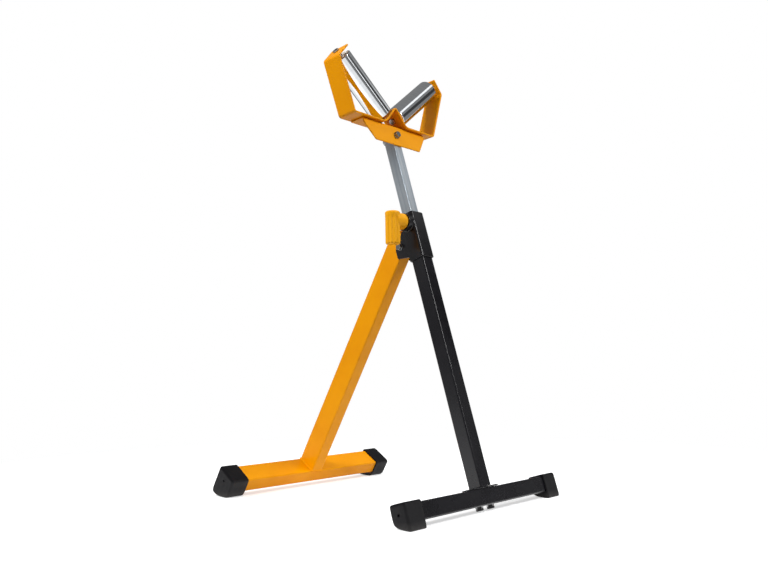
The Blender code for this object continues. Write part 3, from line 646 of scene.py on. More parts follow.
def show(name: str, shell: Shell, place: Array, finish: Finish, body: str, *nodes: str) -> None:
    """Puts a shell in the scene as a finished piece, at the place of its own frame."""
    show_mesh(shell.mesh(name, place), finish, body, *nodes)


def dress(name: str, finish: Finish) -> None:
    """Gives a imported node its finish.

    Args:
        name: the node's name.
        finish: what it is made of.
    """
    node = bpy.data.objects[name]
    node.data.materials.clear()
    node.data.materials.append(finish.material())
    LOG.info("%s: dressed as %s", name, finish.name)


def moulded(mesh: bpy.types.Mesh, voxel: float, rounds: int = 3) -> bpy.types.Mesh:
    """Melts a mesh's shells into one skin and rounds its edges, as a moulding's are.

    Args:
        mesh: one closed shell, or several that overlap.
        voxel: the size of the new faces.
        rounds: how often each point moves halfway towards the middle of its neighbours.

    Returns:
        A new mesh with the same name.
    """
    name = mesh.name
    mesh.name = f"{name}_rough"
    rough = linked(mesh)
    melt = rough.modifiers.new("melt", "REMESH")
    melt.mode = "VOXEL"
    melt.voxel_size = voxel
    melt.use_smooth_shade = True
    soften = rough.modifiers.new("soften", "SMOOTH")
    soften.factor = 0.5
    soften.iterations = rounds
    graph = bpy.context.evaluated_depsgraph_get()
    made = bpy.data.meshes.new_from_object(rough.evaluated_get(graph))
    bpy.data.objects.remove(rough)
    made.name = name
    made.materials.clear()
    return made


@dataclass(frozen=True)
class Section:
    """The section of a rectangular tube, across x and y."""

    wide: float
    deep: float
    wall: float = 0.0015
    corner: float = 0.0025
    edge: float = 0.00025

    def outline(self, inset: float) -> Array:
        """The outer outline, drawn in by the inset."""
        return rounded_rectangle(self.wide - 2 * inset, self.deep - 2 * inset, self.corner - inset, 6, 9)

    def tube(self, start: float, end: float | Callable[[Array], Array]) -> Shell:
        """Works out a tube along Z, with its outer edges broken by a fine chamfer.

        Args:
            start: where the tube starts.
            end: where it ends, as one place or as a function of y.

        Returns:
            The tube.
        """
        inner_corner = max(self.corner - self.wall, self.wall / 3)
        inner = rounded_rectangle(self.wide - 2 * self.wall, self.deep - 2 * self.wall, inner_corner, 6, 9)
        full, drawn_in = self.outline(0), self.outline(self.edge)
        outlines = np.stack([drawn_in, full, full, drawn_in, inner, inner])
        at_start = np.array([True, True, False, False, False, True])
        top = end(outlines[..., 1]) if callable(end) else end
        shifts = np.array([0, self.edge, -self.edge, 0, 0, 0])
        along = np.where(at_start[:, None], start, top) + shifts[:, None]
        return Shell().carried(outlines, along, ring=True)


@dataclass(frozen=True)
class Fastener:
    """The sizes of one bolt size and the nut and washer that go with it."""

    across: float = 0.010
    head: float = 0.0040
    nut: float = 0.0050
    radius: float = 0.0030
    washer: float = 0.0012
    washer_radius: float = 0.0060
    washer_round: float = 0.35
    cone: float = radians(30)
    cone_rim: float = 0.475
    cone_zone: float = 0.22
    pitch: float = 0.001
    thread_depth: float = 0.3
    run_out: float = 0.0003
    tip: float = 0.0004
    tip_share: float = 0.72
    columns: int = 72

    def hexagon(self, high: float, both: bool) -> tuple[Array, Array]:
        """Works out the flanks of a hexagon whose corners a cone of 30 degrees cuts off, at one end or at both.

        The hexagon's reach is half its width over the cosine of the angle from the nearest flat, and the cone's is
        taken where that is less.

        Args:
            high: the hexagon's height.
            both: whether its lower end is cut as well.

        Returns:
            The reach by row and angle, and the rows' heights.
        """
        flat = self.across / 2 / np.cos(np.mod(full_turn(self.columns), pi / 3) - pi / 6)
        rim = self.cone_rim * self.across
        zone = high * self.cone_zone
        heights = np.concatenate([np.linspace(0, zone, 6), np.linspace(high - zone, high, 6)])
        top = rim + (high - heights) / tan(self.cone)
        bottom = rim + heights / tan(self.cone) if both else self.across
        return np.minimum(flat, np.minimum(top, bottom)[:, None]), heights

    def threaded(self, start: float, end: float) -> tuple[Array, Array]:
        """Works out a threaded stretch: the radius, less a triangle wave of the height over the pitch less the turn
        over a full turn, so that the crest climbs as a helix.

        Args:
            start: where the stretch starts.
            end: where it ends.

        Returns:
            The reach by row and angle, and the rows' heights.
        """
        heights = np.linspace(start, end, max(int(abs(end - start) / self.pitch * 6), 2))
        phase = np.mod(heights[:, None] / self.pitch - full_turn(self.columns) / (2 * pi), 1)
        return self.radius - self.thread_depth * self.pitch * np.abs(2 * phase - 1), heights

    def bolt_shell(self, reach: float, thread: float) -> Shell:
        """Works out a bolt whose head starts at the origin and points along +Z.

        Args:
            reach: how far the shank goes along -Z.
            thread: length of the thread.

        Returns:
            The bolt.
        """
        flanks, heights = self.hexagon(self.head, False)
        threads, thread_heights = self.threaded(-reach + self.tip, -reach + thread)
        tip = np.full((1, self.columns), self.radius * self.tip_share)
        shank = np.full((2, self.columns), self.radius)
        along = np.concatenate([[-reach], thread_heights, [-reach + thread + self.run_out, 0.0], heights])
        return Shell().polar(np.vstack([tip, threads, shank, flanks]), along)

    def nut_shell(self) -> Shell:
        """Works out a nut.

        Returns:
            The nut, from the origin up along +Z.
        """
        flanks, heights = self.hexagon(self.nut, True)
        bore = np.full((1, self.columns), self.radius + GAP)
        along = np.concatenate([[0.0], heights, [self.nut]])
        return Shell().polar(np.vstack([bore, flanks, bore]), along, ring=True)

    def washer_shell(self) -> Shell:
        """Works out a washer, with its rim rounded as a punched one's is.

        Returns:
            The washer, from the origin up along +Z.
        """
        inset, along = rolled_edges(0, self.washer, self.washer * self.washer_round, 4)
        bore = [self.radius + GAP]
        radii = np.concatenate([bore, self.washer_radius - inset, bore])
        heights = np.concatenate([[0.0], along, [self.washer]])
        return Shell().turned(radii, heights, self.columns, ring=True)


M6 = Fastener()
M6_THIN_NUT = replace(M6, nut=0.0030)
BOLT_TIP = 0.0015
BOLT_THREAD = 0.008
AXLE_TIP = 0.0004


def through_bolt(here: Array, seats: tuple[float, float], body: str, pieces: dict[str, str]) -> None:
    """Builds a bolt with a washer at each end and a nut.

    Args:
        here: the bolt's axis, as a place whose Z points from the head to the nut.
        seats: how far the head's washer and the nut's lie from that place, each on its own side.
        body: the body that they move with.
        pieces: the names of the head's washer, the nut's washer, the bolt and the nut, each with its node's.
    """
    stack = moved(z=M6.washer + GAP)
    head, nut = here @ moved(z=-seats[0]) @ pointing("z", -1), here @ moved(z=seats[1])
    reach = sum(seats) + 2 * stack[2, 3] + M6.nut + BOLT_TIP
    washer = M6.washer_shell()
    placed = [(washer, head), (washer, nut), (M6.bolt_shell(reach, BOLT_THREAD), head @ stack)]
    placed.append((M6.nut_shell(), nut @ stack))
    for (name, node), (shell, place) in zip(pieces.items(), placed):
        show(name, shell, place, ZINC_FASTENER, body, node)


# Sub-assemblies


@dataclass(frozen=True)
class Foot:
    """A rubber cap over a crossbar's end: soft edges, a level sole, a vent in the end wall."""

    bar_half: float
    bar: Section
    sole_lean: float
    bar_height: float
    cut: tuple[float, float]
    cover: float = 0.030
    wall: float = 0.0026
    end_wall: float = 0.0032
    end_round: float = 0.0042
    mouth_round: float = 0.0012
    vent: float = 0.0021
    vent_flare: float = 1.25
    vent_sink: float = 0.0004
    vent_sharpness: float = 8.0
    pocket_sharpness: float = 60.0

    def edges(self) -> Array:
        """Works out the cap's outline as edges about the bar's middle.

        Returns:
            The front, the top, the back, the sole and the cut, each a direction and a distance.
        """
        rows = box_edges(self.bar.deep, self.bar.wide) + (0, GAP + self.wall)
        rows[3] = (-pi / 2 + self.sole_lean, self.bar_height)
        return np.vstack([rows, self.cut])

    def cap(self) -> Shell:
        """Works out the cap as one ring of outlines: out over the mouth, along, round the end, in to the vent,
        through the end wall, out to the pocket and back along it.

        Returns:
            The cap, with its end towards +Z.
        """
        mouth_inset, mouth_advance = quarter_round(self.mouth_round, 3)
        end_inset, end_advance = quarter_round(self.end_round, 6)
        start = self.bar_half - self.cover
        pocket_end = self.bar_half + GAP
        end = pocket_end + self.end_wall
        insets = np.concatenate([mouth_inset[::-1], end_inset])
        outlines = [soft_polygon(self.edges() - (0, inset)) for inset in insets]
        count = len(outlines[0])
        circle = soft_polygon(np.array([(turn, self.vent) for turn in full_turn(12)]), count, self.vent_sharpness)
        pocket = soft_polygon(box_edges(self.bar.deep, self.bar.wide) + (0, GAP), count, self.pocket_sharpness)
        outlines += [circle * self.vent_flare, circle, circle, pocket, pocket]
        outside = [start + self.mouth_round - mouth_advance[::-1], end - self.end_round + end_advance]
        along = np.concatenate(outside + [[end, end - self.vent_sink, pocket_end, pocket_end, start]])
        return Shell().carried(np.stack(outlines), along, ring=True)

    def build_pair(self, row: str, frame: Array, body: str) -> None:
        """Builds the caps at both ends of a crossbar.

        Args:
            row: whether the crossbar is the front or the rear one.
            frame: the crossbar's place, with y and z across it.
            body: the body that they move with.
        """
        for side in Side:
            across = np.array([[0, 0, side.value, 0], [1, 0, 0, 0], [0, 1, 0, 0], [0, 0, 0, 1.0]])
            name, node = f"{side.word}_{row}_cap", f"{side.word}_{row}_foot"
            show(name, self.cap(), frame @ across, MOULDED_RUBBER, body, node)


@dataclass
class FrontFrame:
    """The black column on its crossbar, with the collar and the hinge bolt."""

    places: Places
    section: Section = Section(0.025, 0.025)
    bar_length: float = 0.360
    bar_height: float = 0.0190
    plate: float = 0.002
    plate_length: float = 0.060
    plate_edge: float = 0.0006
    bolt_spread: float = 0.027
    base_thread: float = 0.006
    column_top: float = 0.465
    collar: float = 0.030
    collar_voxel: float = 0.0006
    hinge_back: float = 0.0265
    hinge_up: float = 0.420
    heel_cut: float = 0.006
    body: str = "front_frame"

    @property
    def bar_face(self) -> float:
        """From the crossbar's middle to its face."""
        return self.section.wide / 2

    def build(self) -> None:
        """Builds every piece of the front frame."""
        self.tubes()
        self.base_plate()
        self.base_bolts()
        self.feet()
        self.build_collar()
        self.hinge()
        dress("hinge_bush", ZINC_FASTENER)
        dress("lock_bush", TURNED_BRASS)

    def tubes(self) -> None:
        """Builds the column and the crossbar."""
        half = self.bar_length / 2
        bottom = self.bar_face + self.plate + 2 * GAP
        here = self.places.column
        column, bar = self.section.tube(bottom, self.column_top), self.section.tube(-half, half)
        show("column_tube", column, here, BLACK_POWDER_COAT, self.body, "front_column")
        show("crossbar_tube", bar, here @ pointing("x"), BLACK_POWDER_COAT, self.body, "front_crossbar")

    def base_plate(self) -> None:
        """Builds the plate under the column, with round edges."""
        low = self.bar_face + GAP
        insets, along = rolled_edges(low, low + self.plate, self.plate_edge, 3)
        deep, corner = self.section.deep, self.section.corner
        outlines = [rounded_rectangle(self.plate_length - 2 * i, deep - 2 * i, corner - i) for i in insets]
        plate = Shell().carried(np.stack(outlines), along)
        show("column_foot_plate", plate, self.places.column, BLACK_POWDER_COAT, self.body, "column_base_plate")

    def base_bolts(self) -> None:
        """Builds the two bolts that hold the column to the crossbar, with their washers."""
        bolt = M6.bolt_shell(self.section.wide + self.plate + 2 * GAP + M6.washer, self.base_thread)
        for side in Side:
            shift = moved(side.value * self.bolt_spread / 2, 0, -self.bar_face - GAP)
            here = self.places.column @ shift @ pointing("z", -1)
            piece, node = f"{side.word}_base", f"{side.word}_column_bolt"
            # Near-black: partly painted shade for the shade under the crossbar.
            show(f"{piece}_washer", M6.washer_shell(), here, SHADED_BLACK_FASTENER, self.body, f"{node}_washer")
            show(f"{piece}_bolt", bolt, here @ moved(z=M6.washer + GAP), SHADED_BLACK_FASTENER, self.body, node)

    def feet(self) -> None:
        """Builds the two rubber feet, whose heels are cut off at the back of the sole."""
        heel = self.bar_face + GAP + Foot.wall - self.heel_cut
        low = (heel * sin(COLUMN_LEAN) - self.bar_height) / cos(COLUMN_LEAN)
        cut = (-pi / 4, (heel - low) / 2**0.5)
        shape = Foot(self.bar_length / 2, self.section, COLUMN_LEAN, self.bar_height, cut)
        shape.build_pair("front", self.places.column, self.body)

    def build_collar(self) -> None:
        """Builds the moulded collar: the node's own solid, melted to one skin with soft edges."""
        copy = bpy.data.objects["column_collar"].data.copy()
        copy.name = "hinge_collar"
        clean(copy)
        show_mesh(moulded(copy, self.collar_voxel), MOULDED_NYLON, self.body, "column_collar")

    def hinge(self) -> None:
        """Builds the hinge bolt through the cheeks, with its washers and nut."""
        here = self.places.column @ moved(0, self.hinge_back, self.hinge_up) @ pointing("x")
        face = self.collar / 2 + GAP
        pieces = {
            "left_pivot_washer": "left_hinge_washer",
            "right_pivot_washer": "right_hinge_washer",
            "pivot_bolt": "hinge_bolt",
            "pivot_nut": "hinge_nut",
        }
        through_bolt(here, (face, face), self.body, pieces)


@dataclass
class RearFrame:
    """The yellow leg on its crossbar."""

    places: Places
    leg: Section = Section(0.024, 0.040)
    bar: Section = Section(0.024, 0.040)
    front_from_hinge: float = 0.0067
    above_hinge: float = 0.0185
    stop_reach: float = 0.0107
    bar_length: float = 0.367
    bar_height: float = 0.0282
    foot_drop: float = 0.037
    weld: float = 0.0021
    weld_ripple: float = 0.0022
    weld_swell: float = 0.10
    weld_root: float = 0.0004
    body: str = "rear_frame"

    @property
    def lean(self) -> float:
        """The leg's lean from plumb."""
        return self.places.open_angle - COLUMN_LEAN

    @property
    def middle(self) -> float:
        """How far the leg's centre line lies behind the hinge."""
        return self.leg.deep / 2 - self.front_from_hinge

    @property
    def length(self) -> float:
        """From the hinge to the crossbar's middle, along the leg."""
        return (self.places.leg[2, 3] + self.middle * sin(self.lean) - self.bar_height) / cos(self.lean)

    def top(self, y: Array) -> Array:
        """The leg's upper end: square, or the slanted face that meets the collar where that is lower."""
        open_angle = self.places.open_angle
        return np.minimum(self.above_hinge, (self.stop_reach + (y + self.middle) * cos(open_angle)) / sin(open_angle))

    def build(self) -> None:
        """Builds every piece of the rear frame."""
        centred = self.places.leg @ moved(0, self.middle, 0)
        half_high, half_long = self.bar.wide / 2, self.bar_length / 2
        leg = self.leg.tube(-self.length + half_high + GAP, self.top)
        show("leg_tube", leg, centred, YELLOW_POWDER_COAT, self.body, "rear_leg")
        foot_place = centred @ moved(z=-self.length)
        lying = foot_place @ pointing("x")
        bar = self.bar.tube(-half_long, half_long)
        show("rear_bar_tube", bar, lying, YELLOW_POWDER_COAT, self.body, "rear_crossbar")
        self.build_weld(foot_place @ moved(z=half_high))
        shape = Foot(half_long, self.bar, -self.lean, self.bar_height, (-pi / 2, self.foot_drop))
        shape.build_pair("rear", foot_place, self.body)

    def build_weld(self, place: Array) -> None:
        """Builds the painted weld round the leg's foot.

        It is a fillet carried round the leg's outline: a hollow quarter round, one minus the sine out and one minus
        the cosine up, closed behind by two rows inside the leg's wall. Its size swells and shrinks as a cosine of
        the distance along it, as a weld's ripples do.

        Args:
            place: the leg's foot on the crossbar's face.
        """
        outline = rounded_rectangle(self.leg.wide, self.leg.deep, self.leg.corner, 8, 60)
        closed = np.vstack([outline[-1:], outline, outline[:1]])
        ahead = unit(closed[2:] - closed[:-2])
        outward = np.stack([ahead[:, 1], -ahead[:, 0]], axis=-1)
        walked = np.cumsum(np.linalg.norm(np.diff(closed, axis=0), axis=1)[:-1])
        size = self.weld * (1 + self.weld_swell * np.cos(walked / self.weld_ripple * 2 * pi))
        turn = np.linspace(0, pi / 2, 7)
        across = (1 - np.sin(turn) * 0.999)[:, None] * size
        behind = np.full((1, len(size)), -self.weld_root)
        high = np.concatenate([[0.0], 1 - np.cos(turn), [1.0]])[:, None] * size + GAP / 2
        points = outline + outward * np.vstack([behind, across, behind])[..., None]
        shell = Shell().grid(np.concatenate([points, high[..., None]], axis=-1), wrap_rows=True)
        show("leg_weld", shell, place, YELLOW_POWDER_COAT, self.body)


@dataclass
class HeightPost:
    """The zinc tube with its bracket and the bent-strip head."""

    places: Places
    head_up: float = 0.6385
    section: Section = Section(0.020, 0.020, corner=0.0015)
    tube_length: float = 0.474
    sheet: float = 0.0025
    sheet_edge: float = 0.0006
    bracket_length: float = 0.151
    drop: float = 0.042
    end_drop: float = 0.012
    cut: float = 0.021
    bend: float = 0.0030
    back: float = 0.0165
    bolt_drop: float = 0.022
    strip: float = 0.003
    strip_wide: float = 0.039
    strip_edge: float = 0.0007
    strip_bend: float = 0.0045
    arm_foot: float = 0.0985
    arm_top_out: float = 0.1290
    arm_top_up: float = 0.0905
    tip_length: float = 0.0305
    vee_foot: float = 0.0255
    vee_fillet: float = 0.015
    vee_peak_bend: float = 0.0040
    body: str = "height_post"

    @property
    def tilt(self) -> float:
        """The angle between the tube and the head."""
        return float(np.arccos(np.clip(self.places.tube[:3, 2] @ self.places.head[:3, 2], -1, 1)))

    @property
    def roller_span(self) -> float:
        """From halfway along the V's flank to the tip plate, along a roller's axis and between middle lines."""
        flank = np.array([self.vee_foot / 2, self.strip / 2 + self.vee_foot / 2 * tan(pi / 2 - ROLLER_SLOPE)])
        return float((np.array([self.arm_top_out, self.arm_top_up]) - flank) @ directions(np.array(ROLLER_SLOPE)))

    def web_height(self, back: float, under: float) -> float:
        """Height in the tube's frame of a plane parallel to the head's underside and this far under it."""
        return (back * sin(self.tilt) - under) / cos(self.tilt)

    def build(self) -> None:
        """Builds every piece of the height post."""
        top = self.web_height(-self.section.deep / 2, 2 * GAP + self.sheet) - self.bend
        post = self.section.tube(top - self.tube_length, top)
        show("height_tube", post, self.places.tube, DRAWN_ZINC, self.body, "inner_tube")
        dress("inner_tube_glide", MOULDED_NYLON)
        self.bracket()
        self.fastening()
        self.head_strip()

    def bracket_outline(self, drop: float, thin: float) -> Array:
        """Works out the angle's outline at one place along X.

        It is the sheet's middle line, from the flange's edge over the bend to the web's edge, set off by half the
        thickness to each side.

        Args:
            drop: how far the flange's edge lies below the head.
            thin: how far the outline is drawn in.

        Returns:
            The outline, as points by (y, z).
        """
        front = -self.section.deep / 2 - GAP - self.sheet / 2
        back = self.back - thin
        under = GAP + self.sheet / 2
        web = [(front, self.web_height(front, under)), (back, self.web_height(back, under))]
        line = bent_line(np.array([(front, -drop + thin), *web]), [self.bend])
        line = doubled_ends(line, (line[1] - line[0]) * 0.02, (line[-2] - line[-1]) * 0.02)
        halves = np.full((len(line), 1), self.sheet / 2 - thin)
        halves[[0, -1]] -= self.sheet_edge
        offset = normals_along(line) * halves
        return np.vstack([line + offset, (line - offset)[::-1]])

    def bracket(self) -> None:
        """Builds the angle under the head, its outline carried along X. The flange's edge rises along a straight
        line near each end."""
        half = self.bracket_length / 2
        edge = self.sheet_edge
        between = np.linspace(-half + 0.002, half - 0.002, 76)
        places = np.concatenate([[-half, -half + edge], between, [half - edge, half]])
        inset = np.interp(np.abs(places), [half - edge, half], [0.0, edge])
        drops = np.interp(half - np.abs(places), [0.0, self.cut], [self.end_drop, self.drop])
        outlines = np.stack([self.bracket_outline(drop, thin) for drop, thin in zip(drops, inset)])
        along = np.broadcast_to(places[:, None, None], outlines.shape[:2] + (1,))
        shell = Shell().grid(np.concatenate([along, outlines], axis=-1), capped=True)
        show("head_angle", shell, self.places.tube, YELLOW_POWDER_COAT, self.body, "head_bracket")

    def fastening(self) -> None:
        """Builds the bolt through the bracket's flange and the tube, with its washers and nut."""
        here = self.places.tube @ moved(z=-self.bolt_drop) @ pointing("y")
        back = self.section.deep / 2 + GAP
        pieces = {
            "head_bolt_side_washer": "head_bolt_washer",
            "head_nut_side_washer": "head_nut_washer",
            "head_cross_bolt": "head_bolt",
            "head_cross_nut": "head_nut",
        }
        through_bolt(here, (back + self.sheet + GAP, back), self.body, pieces)

    def strip_line(self) -> Array:
        """Works out the strip's middle line in the head's frame.

        Returns:
            The line from the left tip to the right one, as points by (x, z).
        """
        lift = self.strip / 2
        peak = lift + self.vee_foot * tan(pi / 2 - ROLLER_SLOPE)
        arm_top = np.array([-self.arm_top_out, self.arm_top_up])
        tip = np.array([sin(ROLLER_SLOPE), cos(ROLLER_SLOPE)]) * self.tip_length
        half = np.array([arm_top + tip, arm_top, (-self.arm_foot, lift), (-self.vee_foot, lift)])
        corners = np.vstack([half, [(0.0, peak)], half[::-1] * (-1, 1)])
        side = [self.strip_bend, self.strip_bend, self.vee_fillet]
        return bent_line(corners, [*side, self.vee_peak_bend, *side[::-1]], 10)

    def head_strip(self) -> None:
        """Builds the head: a flat bar's section with round edges, carried along the bent line and square to it."""
        edge = self.strip_edge
        line = self.strip_line()
        line = doubled_ends(line, unit(line[1] - line[0]) * edge, unit(line[-2] - line[-1]) * edge)
        shrink = np.ones((len(line), 1, 2))
        shrink[[0, -1]] -= 2 * edge / np.array([self.strip_wide, self.strip])
        across = rounded_rectangle(self.strip_wide, self.strip, edge, 4, 4) * shrink
        plane = line[:, None] + across[..., 1:] * normals_along(line)[:, None]
        points = np.stack([plane[..., 0], across[..., 0], plane[..., 1]], axis=-1)
        shell = Shell().grid(points, capped=True)
        show("vee_head_strip", shell, self.places.head, YELLOW_POWDER_COAT, self.body, "head_frame")


@dataclass
class Roller:
    """One chrome roller with its caps, axle, spacers and nut."""

    side: Side
    place: Array
    span: float
    strip: float = HeightPost.strip
    radius: float = 0.019
    wall: float = 0.0015
    low_space: float = 0.0040
    top_space: float = 0.0085
    rim_round: float = 0.0011
    cap_depth: float = 0.010
    cap_dish: float = 0.0009
    cap_edge: float = 0.0006
    cap_back: float = 0.0032
    skirt_wall: float = 0.0015
    hub: float = 0.0070
    hub_proud: float = 0.0010
    spacer: float = 0.0050
    spacer_chamfer: float = 0.0004
    axle_thread: float = 0.009
    axle_body: str = HeightPost.body

    def build(self) -> None:
        """Builds the roller's pieces."""
        word = self.side.word
        spinning = f"{word}_roller"
        bottom = self.strip / 2 + self.low_space
        top = self.span - self.strip / 2 - self.top_space
        tube = self.tube_shell(bottom, top)
        show(f"{word}_chrome_tube", tube, self.place, self.chrome(), spinning, f"{spinning}_tube")
        for end, start, inward in (("lower", bottom, 1), ("upper", top, -1)):
            name, cap = f"{word}_{end}_cap", self.cap(start, inward)
            show(name, cap, self.place, NATURAL_NYLON, spinning, f"{spinning}_{end}_bearing")
        self.axle(word, bottom, top)

    def chrome(self) -> Finish:
        """The chrome, with its rings turned square to this roller's axis."""
        slope = self.side.value * (pi / 2 - ROLLER_SLOPE)
        return replace(GROUND_CHROME, name=f"chrome_plated_{self.side.word}_roller", turn=(0.0, slope, 0.0))

    def tube_shell(self, bottom: float, top: float) -> Shell:
        """Works out the chrome tube: a turned ring whose outer rims roll over in a quarter round.

        Args:
            bottom: the tube's lower end on the axis.
            top: its upper end.

        Returns:
            The tube.
        """
        inset, along = rolled_edges(bottom, top, self.rim_round, 6)
        inner = [self.radius - self.wall]
        radii = np.concatenate([inner, self.radius - inset, inner])
        return Shell().turned(radii, np.concatenate([[bottom], along, [top]]), 128, ring=True)

    def cap(self, start: float, inward: int) -> Shell:
        """Works out a bearing cap: a dished face with a raised rim and hub, a skirt in the tube and a bore on the
        axle.

        Args:
            start: the place of the rim's face on the axis.
            inward: 1 if the skirt runs up the axis and -1 if it runs down.

        Returns:
            The cap.
        """
        rim = self.radius - self.wall - GAP
        bore = M6.radius + GAP
        hub, proud, edge, dish = self.hub, self.hub_proud, self.cap_edge, self.cap_dish
        depth, back, skirt = self.cap_depth, self.cap_back, rim - self.skirt_wall
        face = [(bore, -proud), (hub - edge, -proud), (hub, edge - proud), (hub + 0.0002, dish)]
        rim_rows = [(rim - 0.0022, dish), (rim - 0.0018, 0.0001), (rim - 0.0003, 0.0), (rim, 0.0004), (rim, depth)]
        inside = [(skirt, depth), (skirt, back), (hub, back), (hub, depth), (bore, depth)]
        profile = np.array(face + rim_rows + inside)
        return Shell().turned(profile[:, 0], start + inward * profile[:, 1], 96, ring=True)

    def sleeve(self, start: float, end: float) -> Shell:
        """Works out a spacer on the axle: a short turned ring with chamfered rims.

        Args:
            start: its lower end on the axis.
            end: its upper end.

        Returns:
            The spacer.
        """
        chamfer = self.spacer_chamfer
        bore, rim = M6.radius + GAP, self.spacer - chamfer
        radii = np.array([bore, rim, self.spacer, self.spacer, rim, bore])
        heights = np.array([start, start, start + chamfer, end - chamfer, end, end])
        return Shell().turned(radii, heights, 64, ring=True)

    def axle(self, word: str, bottom: float, top: float) -> None:
        """Builds the axle bolt, its nut and the two spacers.

        Args:
            word: the roller's side.
            bottom: the roller's lower end on the axis.
            top: its upper end.
        """
        low_seat = self.strip / 2 + GAP
        plate = self.span - self.strip / 2
        nut_seat = plate + self.strip + GAP
        reach = low_seat + nut_seat + M6_THIN_NUT.nut + AXLE_TIP
        head_place = self.place @ moved(z=-low_seat) @ pointing("z", -1)
        lower = self.sleeve(low_seat, bottom - self.hub_proud - GAP)
        upper = self.sleeve(top + self.hub_proud + GAP, plate - GAP)
        axle = M6.bolt_shell(reach, self.axle_thread)
        pieces = (
            ("lower_sleeve", lower, self.place, "lower_spacer"),
            ("upper_sleeve", upper, self.place, "upper_spacer"),
            ("axle_bolt", axle, head_place, "roller_axle"),
            ("axle_end_nut", M6_THIN_NUT.nut_shell(), self.place @ moved(z=nut_seat), "axle_nut"),
        )
        for name, shell, place, node in pieces:
            show(f"{word}_{name}", shell, place, ZINC_FASTENER, self.axle_body, f"{word}_{node}")


@dataclass
class Lock:
    """The lever that clamps the height tube."""

    places: Places
    hub: float = 0.0138
    hub_face: float = 0.0252
    hub_round: float = 0.0030
    grip: float = 0.0125
    grip_centre: float = 0.0495
    grip_rise: float = 0.0145
    grip_hang: float = 0.0405
    grip_round: float = 0.0035
    flutes: int = 12
    flute_depth: float = 0.0013
    flute_fade: float = 0.004
    voxel: float = 0.0004
    body: str = "lock_handle"

    def build(self) -> None:
        """Builds the lever, and dresses the screw and the pad."""
        dress("lock_screw", ZINC_FASTENER)
        dress("lock_pressure_pad", TURNED_BRASS)
        both = bmesh.new()
        both.from_mesh(self.grip_mesh())
        both.from_mesh(self.hub_mesh())
        whole = bpy.data.meshes.new("lock_handle_moulding")
        both.to_mesh(whole)
        both.free()
        show_mesh(moulded(whole, self.voxel), LEVER_PLASTIC, self.body, "lock_lever")

    def grip_mesh(self) -> bpy.types.Mesh:
        """Makes the upright grip: its radius, less the end rounds, less half of one minus the cosine of as many
        waves as it has flutes, which fade out below its top.

        Returns:
            The mesh.
        """
        inset, rolled = rolled_edges(-self.grip_hang, self.grip_rise, self.grip_round, 7)
        half = len(inset) // 2
        between = np.linspace(rolled[half - 1], rolled[half], 14)[1:-1]
        heights = np.concatenate([rolled[:half], between, rolled[half:]])
        insets = np.concatenate([inset[:half], np.zeros(12), inset[half:]])
        fade = np.clip((self.grip_rise * 0.55 - heights) / self.flute_fade, 0, 1)
        flute = self.flute_depth * (1 - np.cos(self.flutes * full_turn(self.flutes * 12))) / 2
        reach = self.grip - insets[:, None] - flute * fade[:, None]
        return Shell().polar(reach, heights).mesh("lever_grip_shell", moved(-self.grip_centre) @ self.places.lever)

    def hub_mesh(self) -> bpy.types.Mesh:
        """Makes the hub: a turned form whose rim at the collar rolls over in a quarter round.

        Returns:
            The mesh.
        """
        inset, advance = quarter_round(self.hub_round, 5)
        radii = np.concatenate([[self.hub], self.hub - inset])
        heights = np.concatenate([[-self.grip_centre], -self.hub_face - self.hub_round + advance])
        return Shell().turned(radii, heights, 96).mesh("lever_hub_shell", self.places.lever @ pointing("x"))


# Studio


@dataclass(frozen=True)
class Softbox:
    """One lamp, by its direction from the stand in degrees, its distance and its size, and whether it is seen in
    glossy surfaces and whether it lights the dull ones."""

    name: str
    azimuth: float
    elevation: float
    distance: float
    size: tuple[float, float]
    power: float
    in_gloss: bool = False
    in_light: bool = True


@dataclass(frozen=True)
class Flag:
    """One flag or board on the drum round the stand, from one azimuth to another in degrees."""

    name: str
    start: float
    end: float
    low: float
    high: float
    radius: float
    tone: float
    lid: bool = False


